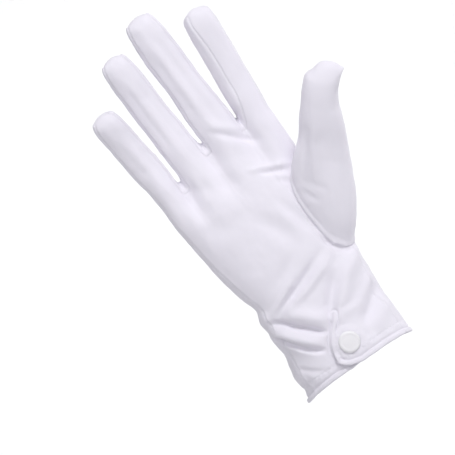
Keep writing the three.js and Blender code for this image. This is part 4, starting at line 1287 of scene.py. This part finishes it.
# Materials
# Cloth tones: the knit mixes them by random noise and by painted shade in the hollows between its loops
CLOTH_LIGHT = (0.870, 0.840, 0.915, 1)
CLOTH_SHADE = (0.825, 0.797, 0.875, 1)
THREAD_COLOUR = (0.885, 0.860, 0.925, 1)
SNAP_COLOUR = (0.870, 0.855, 0.885, 1)
SNAP_SHADE = tuple(value * 0.97 for value in SNAP_COLOUR[:3]) + (1,)
FLOOR_LIGHT = (0.95, 0.95, 0.95, 1)
FLOOR_SHADE = (0.93, 0.93, 0.935, 1)
KNIT_WIDTH = 0.00052
KNIT_HEIGHT = 0.00044
KNIT_SLANT = 0.8
LOOP_ROUNDNESS = 0.6
TWIST_PITCH = 0.00008
# Turn to the side past which the knit is laid out along Y
SIDE_KNIT = 0.72


class Shading:
    """A new material with one shader, and short ways to add nodes to it."""

    def __init__(self, name):
        self.material = bpy.data.materials.new(name)
        self.material.use_nodes = True
        self.tree = self.material.node_tree
        place = self.tree.nodes.new("ShaderNodeTexCoord")
        self.place, self.normal = place.outputs["Object"], place.outputs["Normal"]

    def fill(self, node, values):
        """Sets or links inputs of a node."""
        for name, value in values.items():
            if isinstance(value, bpy.types.NodeSocket):
                self.tree.links.new(value, node.inputs[name])
            else:
                node.inputs[name].default_value = value

    def shade(self, **values):
        """Sets or links inputs of the shader, named with _ for a space."""
        values = {name.replace("_", " "): value for name, value in values.items()}
        self.fill(self.tree.nodes["Principled BSDF"], values)

    def node(self, kind, output, **values):
        made = self.tree.nodes.new("ShaderNode" + kind)
        self.fill(made, values)
        return made.outputs[output]

    def calc(self, operation, *values):
        """Result of a calculation with one or two values."""
        made = self.tree.nodes.new("ShaderNodeMath")
        made.operation = operation
        self.fill(made, dict(enumerate(values)))
        return made.outputs[0]

    def wave(self, value, pitch):
        """Even wave between 0 and 1."""
        return self.calc("DIVIDE", self.calc("PINGPONG", value, pitch), pitch)

    def scaled(self, value, share, start=None):
        result = self.calc("MULTIPLY", value, share)
        return result if start is None else self.calc("ADD", start, result)

    def noise(self, scale, detail=2):
        return self.node("TexNoise", "Fac", Vector=self.place, Scale=scale, Detail=detail)

    def bump(self, height, distance, strength, **below):
        return self.node("Bump", "Normal", Height=height, Distance=distance, Strength=strength, **below)

    def mix(self, share, first, second):
        made = self.tree.nodes.new("ShaderNodeMix")
        made.data_type = "RGBA"
        self.fill(made, {"Factor": share, "A": first, "B": second})
        return made.outputs["Result"]

    def split(self, vector):
        made = self.tree.nodes.new("ShaderNodeSeparateXYZ")
        self.tree.links.new(vector, made.inputs[0])
        return made.outputs


def knit_material():
    """Fine knit: columns of small V-shaped loops, with a little fuzz over them."""
    cloth = Shading("white_knit")
    x, y, z = cloth.split(cloth.place)
    sideways = cloth.calc("ABSOLUTE", cloth.split(cloth.normal)[0])
    on_side = cloth.calc("GREATER_THAN", sideways, SIDE_KNIT)
    across = cloth.calc("ADD", x, cloth.calc("MULTIPLY", on_side, cloth.calc("SUBTRACT", y, x)))
    wale = cloth.wave(across, KNIT_WIDTH / 2)
    slanted = cloth.calc("ADD", z, cloth.scaled(wale, KNIT_HEIGHT * KNIT_SLANT))
    course = cloth.wave(slanted, KNIT_HEIGHT / 2)
    wale_height = cloth.calc("POWER", wale, LOOP_ROUNDNESS)
    loop = cloth.calc("MULTIPLY", wale_height, cloth.calc("POWER", course, LOOP_ROUNDNESS))
    fuzz = cloth.noise(3200)
    soft = cloth.bump(cloth.noise(160, 3), 0.0006, 0.20)
    knitted = cloth.bump(loop, 0.00010, 0.45, Normal=soft)
    # Colour: random tone from noise, plus painted shade that darkens the hollows between the knit loops
    tone_and_hollow_shade = cloth.calc("ADD", cloth.scaled(cloth.noise(45, 3), 0.6), cloth.scaled(loop, 0.4))
    cloth.shade(
        Normal=cloth.bump(fuzz, 0.00004, 0.35, Normal=knitted),
        Base_Color=cloth.mix(tone_and_hollow_shade, CLOTH_SHADE, CLOTH_LIGHT),
        Roughness=cloth.scaled(fuzz, 0.12, 0.80),
        Specular_IOR_Level=0.35,
        Sheen_Weight=0.25,
        Sheen_Roughness=0.45,
    )
    return cloth.material


def thread_material():
    """Twisted sewing thread."""
    sewing = Shading("sewing_thread")
    x, _, z = sewing.split(sewing.place)
    twist = sewing.wave(sewing.calc("ADD", x, z), TWIST_PITCH)
    sewing.shade(
        Normal=sewing.bump(twist, 0.00004, 0.6),
        Base_Color=sewing.mix(sewing.noise(600), CLOTH_SHADE, THREAD_COLOUR),
        Roughness=0.6,
        Sheen_Weight=0.2,
    )
    return sewing.material


def plastic_material():
    """Smooth moulded plastic with a faint orange-peel surface."""
    moulded = Shading("snap_plastic")
    peel = moulded.noise(900)
    moulded.shade(
        Normal=moulded.bump(peel, 0.00005, 0.15),
        Base_Color=moulded.mix(moulded.noise(250), SNAP_SHADE, SNAP_COLOUR),
        Roughness=moulded.scaled(peel, 0.12, 0.24),
        IOR=1.49,
    )
    return moulded.material


def floor_material():
    pale = Shading("pale_floor")
    pale.shade(Base_Color=pale.mix(pale.noise(1.5), FLOOR_SHADE, FLOOR_LIGHT), Roughness=0.95)
    return pale.material


knit = knit_material()
thread = thread_material()
plastic = plastic_material()

for name in PIECES:
    add_object(f"{name}_cloth", *cloth_piece(name), knit, "glove_cloth", [name])

# Sewing threads: rings of a stitch as shares of its length and its radius
surface = BVHTree.FromPolygons(spots.tolist(), quads.tolist())
STITCH_SIDES = 6
STITCH_SHAPE = table(
    "along radius raised",
    (0.00, 0.45, -0.70),
    (0.15, 0.90, 0.00),
    (0.50, 1.00, 0.45),
    (0.85, 0.90, 0.00),
    (1.00, 0.45, -0.70),
)


def stitch_run(path, facing, length, gap, radius):
    """Short threads laid end to end along a path on the cloth."""
    steps = np.linalg.norm(np.diff(path, axis=0), axis=1)
    along = np.concatenate([[0], np.cumsum(steps)])
    vertices, polygons = [], []

    def at(values, where):
        return np.array([np.interp(where, along, column) for column in values.T])

    start = gap / 2
    while start + length < along[-1]:
        ahead = unit(at(path, start + length) - at(path, start))
        first = len(vertices)
        for row in STITCH_SHAPE:
            where = start + row["along"] * length
            up = unit(at(facing, where))
            side = unit(np.cross(ahead, up))
            centre = at(path, where) + up * row["raised"] * radius
            for k in range(STITCH_SIDES):
                turn = 2 * math.pi * k / STITCH_SIDES
                out = side * math.cos(turn) + up * math.sin(turn)
                vertices.append(centre + out * row["radius"] * radius)
        last = len(vertices) - STITCH_SIDES
        for low in range(first, last, STITCH_SIDES):
            high = low + STITCH_SIDES
            for k in range(STITCH_SIDES):
                after = (k + 1) % STITCH_SIDES
                polygons.append([low + k, low + after, high + after, high + k])
        polygons.append([first + k for k in reversed(range(STITCH_SIDES))])
        polygons.append([last + k for k in range(STITCH_SIDES)])
        start += length + gap
    return vertices, polygons


def add_stitches(name, runs, length, gap, radius):
    vertices, polygons = [], []
    for run in runs:
        more, sides = stitch_run(run[:, 0], run[:, 1], length, gap, radius)
        polygons += [[corner + len(vertices) for corner in side] for side in sides]
        vertices += more
    add_object(name, vertices, polygons, thread, "glove_cloth")


# Paths of the stitches: rows of a place on the cloth and its normal
RAY_START = 0.1
HEM_RUN_STEPS = 240
HEM_RUN_ROUNDS = 3
FLAP_INSET = 0.0023
FLAP_RUN = slice(10, -4)
POINT_ASIDE = 0.0002
POINT_RUN = slice(6, -2)


def hem_run():
    """Path round the cuff on its outermost layer, at the height of the hem's stitches."""
    run = []
    for turn in np.linspace(0, 2 * math.pi, HEM_RUN_STEPS + 1):
        out = Vector((math.cos(turn), math.sin(turn), 0))
        height = HEM_HEIGHT
        for _ in range(HEM_RUN_ROUNDS):
            start = Vector((0, 0, height)) + out * RAY_START
            place, normal, _, _ = surface.ray_cast(start, -out)
            height = HEM_HEIGHT + hem_lift(place.y / (CUFF_DEPTH / 2), height)
        run.append((place, normal))
    return np.array(run)


def refined_line(chain):
    """Points of the finest lattice along a chain of points of the first one."""
    line = np.array(chain)
    for _, finer in levels[1:]:
        longer = np.empty(2 * len(line) - 1, int)
        longer[::2] = line
        longer[1::2] = middle_points(finer, line[:-1], line[1:])
        line = longer
    return line


def flap_run():
    """Path along the flap's free edge, a little inside it."""
    chain = [hand[VENT_ROW][VENT_COLUMN]] + [flap[row][0] for row in range(VENT_ROW - 1, -1, -1)]
    line = refined_line(chain)[FLAP_RUN]
    ahead = unit(np.gradient(spots[line], axis=0))
    places = spots[line] + unit(np.cross(normals[line], ahead)) * FLAP_INSET
    return np.array([surface.find_nearest(Vector(place))[:2] for place in places])


def point_run(line):
    """Path beside one of the raised lines on the back."""
    hits = []
    for x, z in line[POINT_RUN]:
        start = Vector((x + POINT_WIDTH / 2 + POINT_ASIDE, RAY_START, z))
        hits.append(surface.ray_cast(start, Vector((0, -1, 0)))[:2])
    return np.array([hit for hit in hits if hit[0] is not None])


# Each kind of stitch with its length, gap and radius
add_stitches("hem_stitches", [hem_run()], 0.0019, 0.0008, 0.00022)
add_stitches("flap_stitches", [flap_run()], 0.0017, 0.0007, 0.00020)
add_stitches("point_stitches", [point_run(line) for line in POINT_LINES], 0.0016, 0.0007, 0.00018)

# Outlines of the snap's halves, as shares of their radius and height
CAP_OUTLINE = [
    (0.00, 0.00), (0.95, 0.00), (0.99, 0.06), (1.00, 0.20), (0.985, 0.42), (0.94, 0.66),
    (0.87, 0.84), (0.80, 0.93), (0.73, 0.95), (0.67, 0.92), (0.61, 0.90), (0.50, 0.93),
    (0.34, 0.97), (0.17, 1.00), (0.00, 1.00),
]
STUD_OUTLINE = [
    (0.00, 0.00), (0.80, 0.00), (0.95, 0.08), (1.00, 0.30), (1.00, 0.85), (0.94, 1.00), (0.00, 1.00),
]
SNAP_SIDES = 96


def turned(profile, sides, foot, side, other, axis):
    """Surface of radii and heights turned round an axis. The first one lies on the axis."""
    vertices, polygons = [foot + axis * profile[0][1]], []
    for radius, height in profile[1:]:
        for k in range(sides):
            turn = 2 * math.pi * k / sides
            out = side * math.cos(turn) + other * math.sin(turn)
            vertices.append(foot + out * radius + axis * height)
    for k in range(sides):
        after = (k + 1) % sides
        polygons.append([0, 1 + k, 1 + after])
        for low in range(1, len(vertices) - sides, sides):
            polygons.append([low + k, low + sides + k, low + sides + after, low + after])
    return vertices, polygons


def add_disc(name, node, outline):
    foot, axis, radius, height = disc_of(node)
    side = unit(np.cross(axis, vec(0, 0, 1)))
    profile = smooth_line(outline, steps=3)
    profile[:, 0] = np.clip(profile[:, 0], 0, 1)
    profile = profile * [radius, height]
    vertices, polygons = turned(profile[:-1], SNAP_SIDES, foot, side, np.cross(axis, side), axis)
    top = len(vertices) - SNAP_SIDES
    for k in range(SNAP_SIDES):
        polygons.append([top + k, len(vertices), top + (k + 1) % SNAP_SIDES])
    vertices.append(foot + axis * profile[-1][1])
    add_object(name, vertices, polygons, plastic, "snap_plastic", [node])


add_disc("snap_cap_moulded", "snap_cap", CAP_OUTLINE)
add_disc("snap_stud_moulded", "snap_stud", STUD_OUTLINE)

# Camera: level, looking along +Y, turned so that the fingers point to the upper left
VIEW_CENTRE = Vector((-0.0181, 0, 0.1125))
VIEW_WIDTH = 0.2675
VIEW_DISTANCE = 0.95
VIEW_ROLL = math.radians(35)
SENSOR_WIDTH = 36
NEAREST = 0.05
FURTHEST = 20
view_right = Vector((math.cos(VIEW_ROLL), 0, -math.sin(VIEW_ROLL)))
view_up = Vector((math.sin(VIEW_ROLL), 0, math.cos(VIEW_ROLL)))
view_back = Vector((0, -1, 0))

camera_data = bpy.data.cameras.new("camera")
camera_data.sensor_width = SENSOR_WIDTH
camera_data.lens = SENSOR_WIDTH * VIEW_DISTANCE / VIEW_WIDTH
camera_data.clip_start = NEAREST
camera_data.clip_end = FURTHEST
camera = link_new("camera", camera_data)
camera_turn = Matrix((view_right, view_up, view_back)).transposed().to_4x4()
camera.matrix_world = Matrix.Translation(VIEW_CENTRE + view_back * VIEW_DISTANCE) @ camera_turn
bpy.context.scene.camera = camera

# Stage: a pale floor that curves up all round
FLOOR_LEVEL = -0.65
FLOOR_RADIUS = 1.6
CURVE_RADIUS = 1.0
WALL_TOP = 2.2
STAGE_SIDES = 96
CURVE_STEPS = 16


def add_stage():
    outline = [(0.0, 0.0), (FLOOR_RADIUS, 0.0)]
    for turn in np.linspace(0, math.pi / 2, CURVE_STEPS + 1)[1:]:
        radius = FLOOR_RADIUS + CURVE_RADIUS * math.sin(turn)
        outline.append((radius, CURVE_RADIUS * (1 - math.cos(turn))))
    outline.append((FLOOR_RADIUS + CURVE_RADIUS, WALL_TOP - FLOOR_LEVEL))
    vertices, polygons = turned(outline, STAGE_SIDES, vec(0, 0, FLOOR_LEVEL), *np.eye(3))
    stage = link_mesh("stage", vertices, polygons, floor_material())


add_stage()


def add_light(name, right, up, back, size, power, aim=(0, 0, 0)):
    """Square soft light. Its place and aim are given along the view's directions."""
    place = VIEW_CENTRE + view_right * right + view_up * up + view_back * back
    centre = VIEW_CENTRE + view_right * aim[0] + view_up * aim[1] + view_back * aim[2]
    data = bpy.data.lights.new(name, "AREA")
    data.shape = "SQUARE"
    data.size = size
    data.energy = power
    light = link_new(name, data)
    light.location = place
    light.rotation_euler = (centre - place).to_track_quat("-Z", "Y").to_euler()


add_light("key", 0.08, 1.20, 0.95, 0.45, 11.4)
add_light("fill", -0.50, 0.30, 1.00, 0.8, 2.6, aim=(-0.06, 0.09, 0))
add_light("rear", 1.1, 0.6, -0.55, 0.35, 3.5)
add_light("backdrop", -0.15, 0.25, -0.9, 1.2, 15.5, aim=(-0.15, 0.25, -3))

world = bpy.data.worlds.new("studio")
world.use_nodes = True
world.node_tree.nodes["Background"].inputs["Color"].default_value = (0.95, 0.96, 1.0, 1)
world.node_tree.nodes["Background"].inputs["Strength"].default_value = 0.38
bpy.context.scene.world = world
bpy.context.scene.view_settings.view_transform = "Standard"
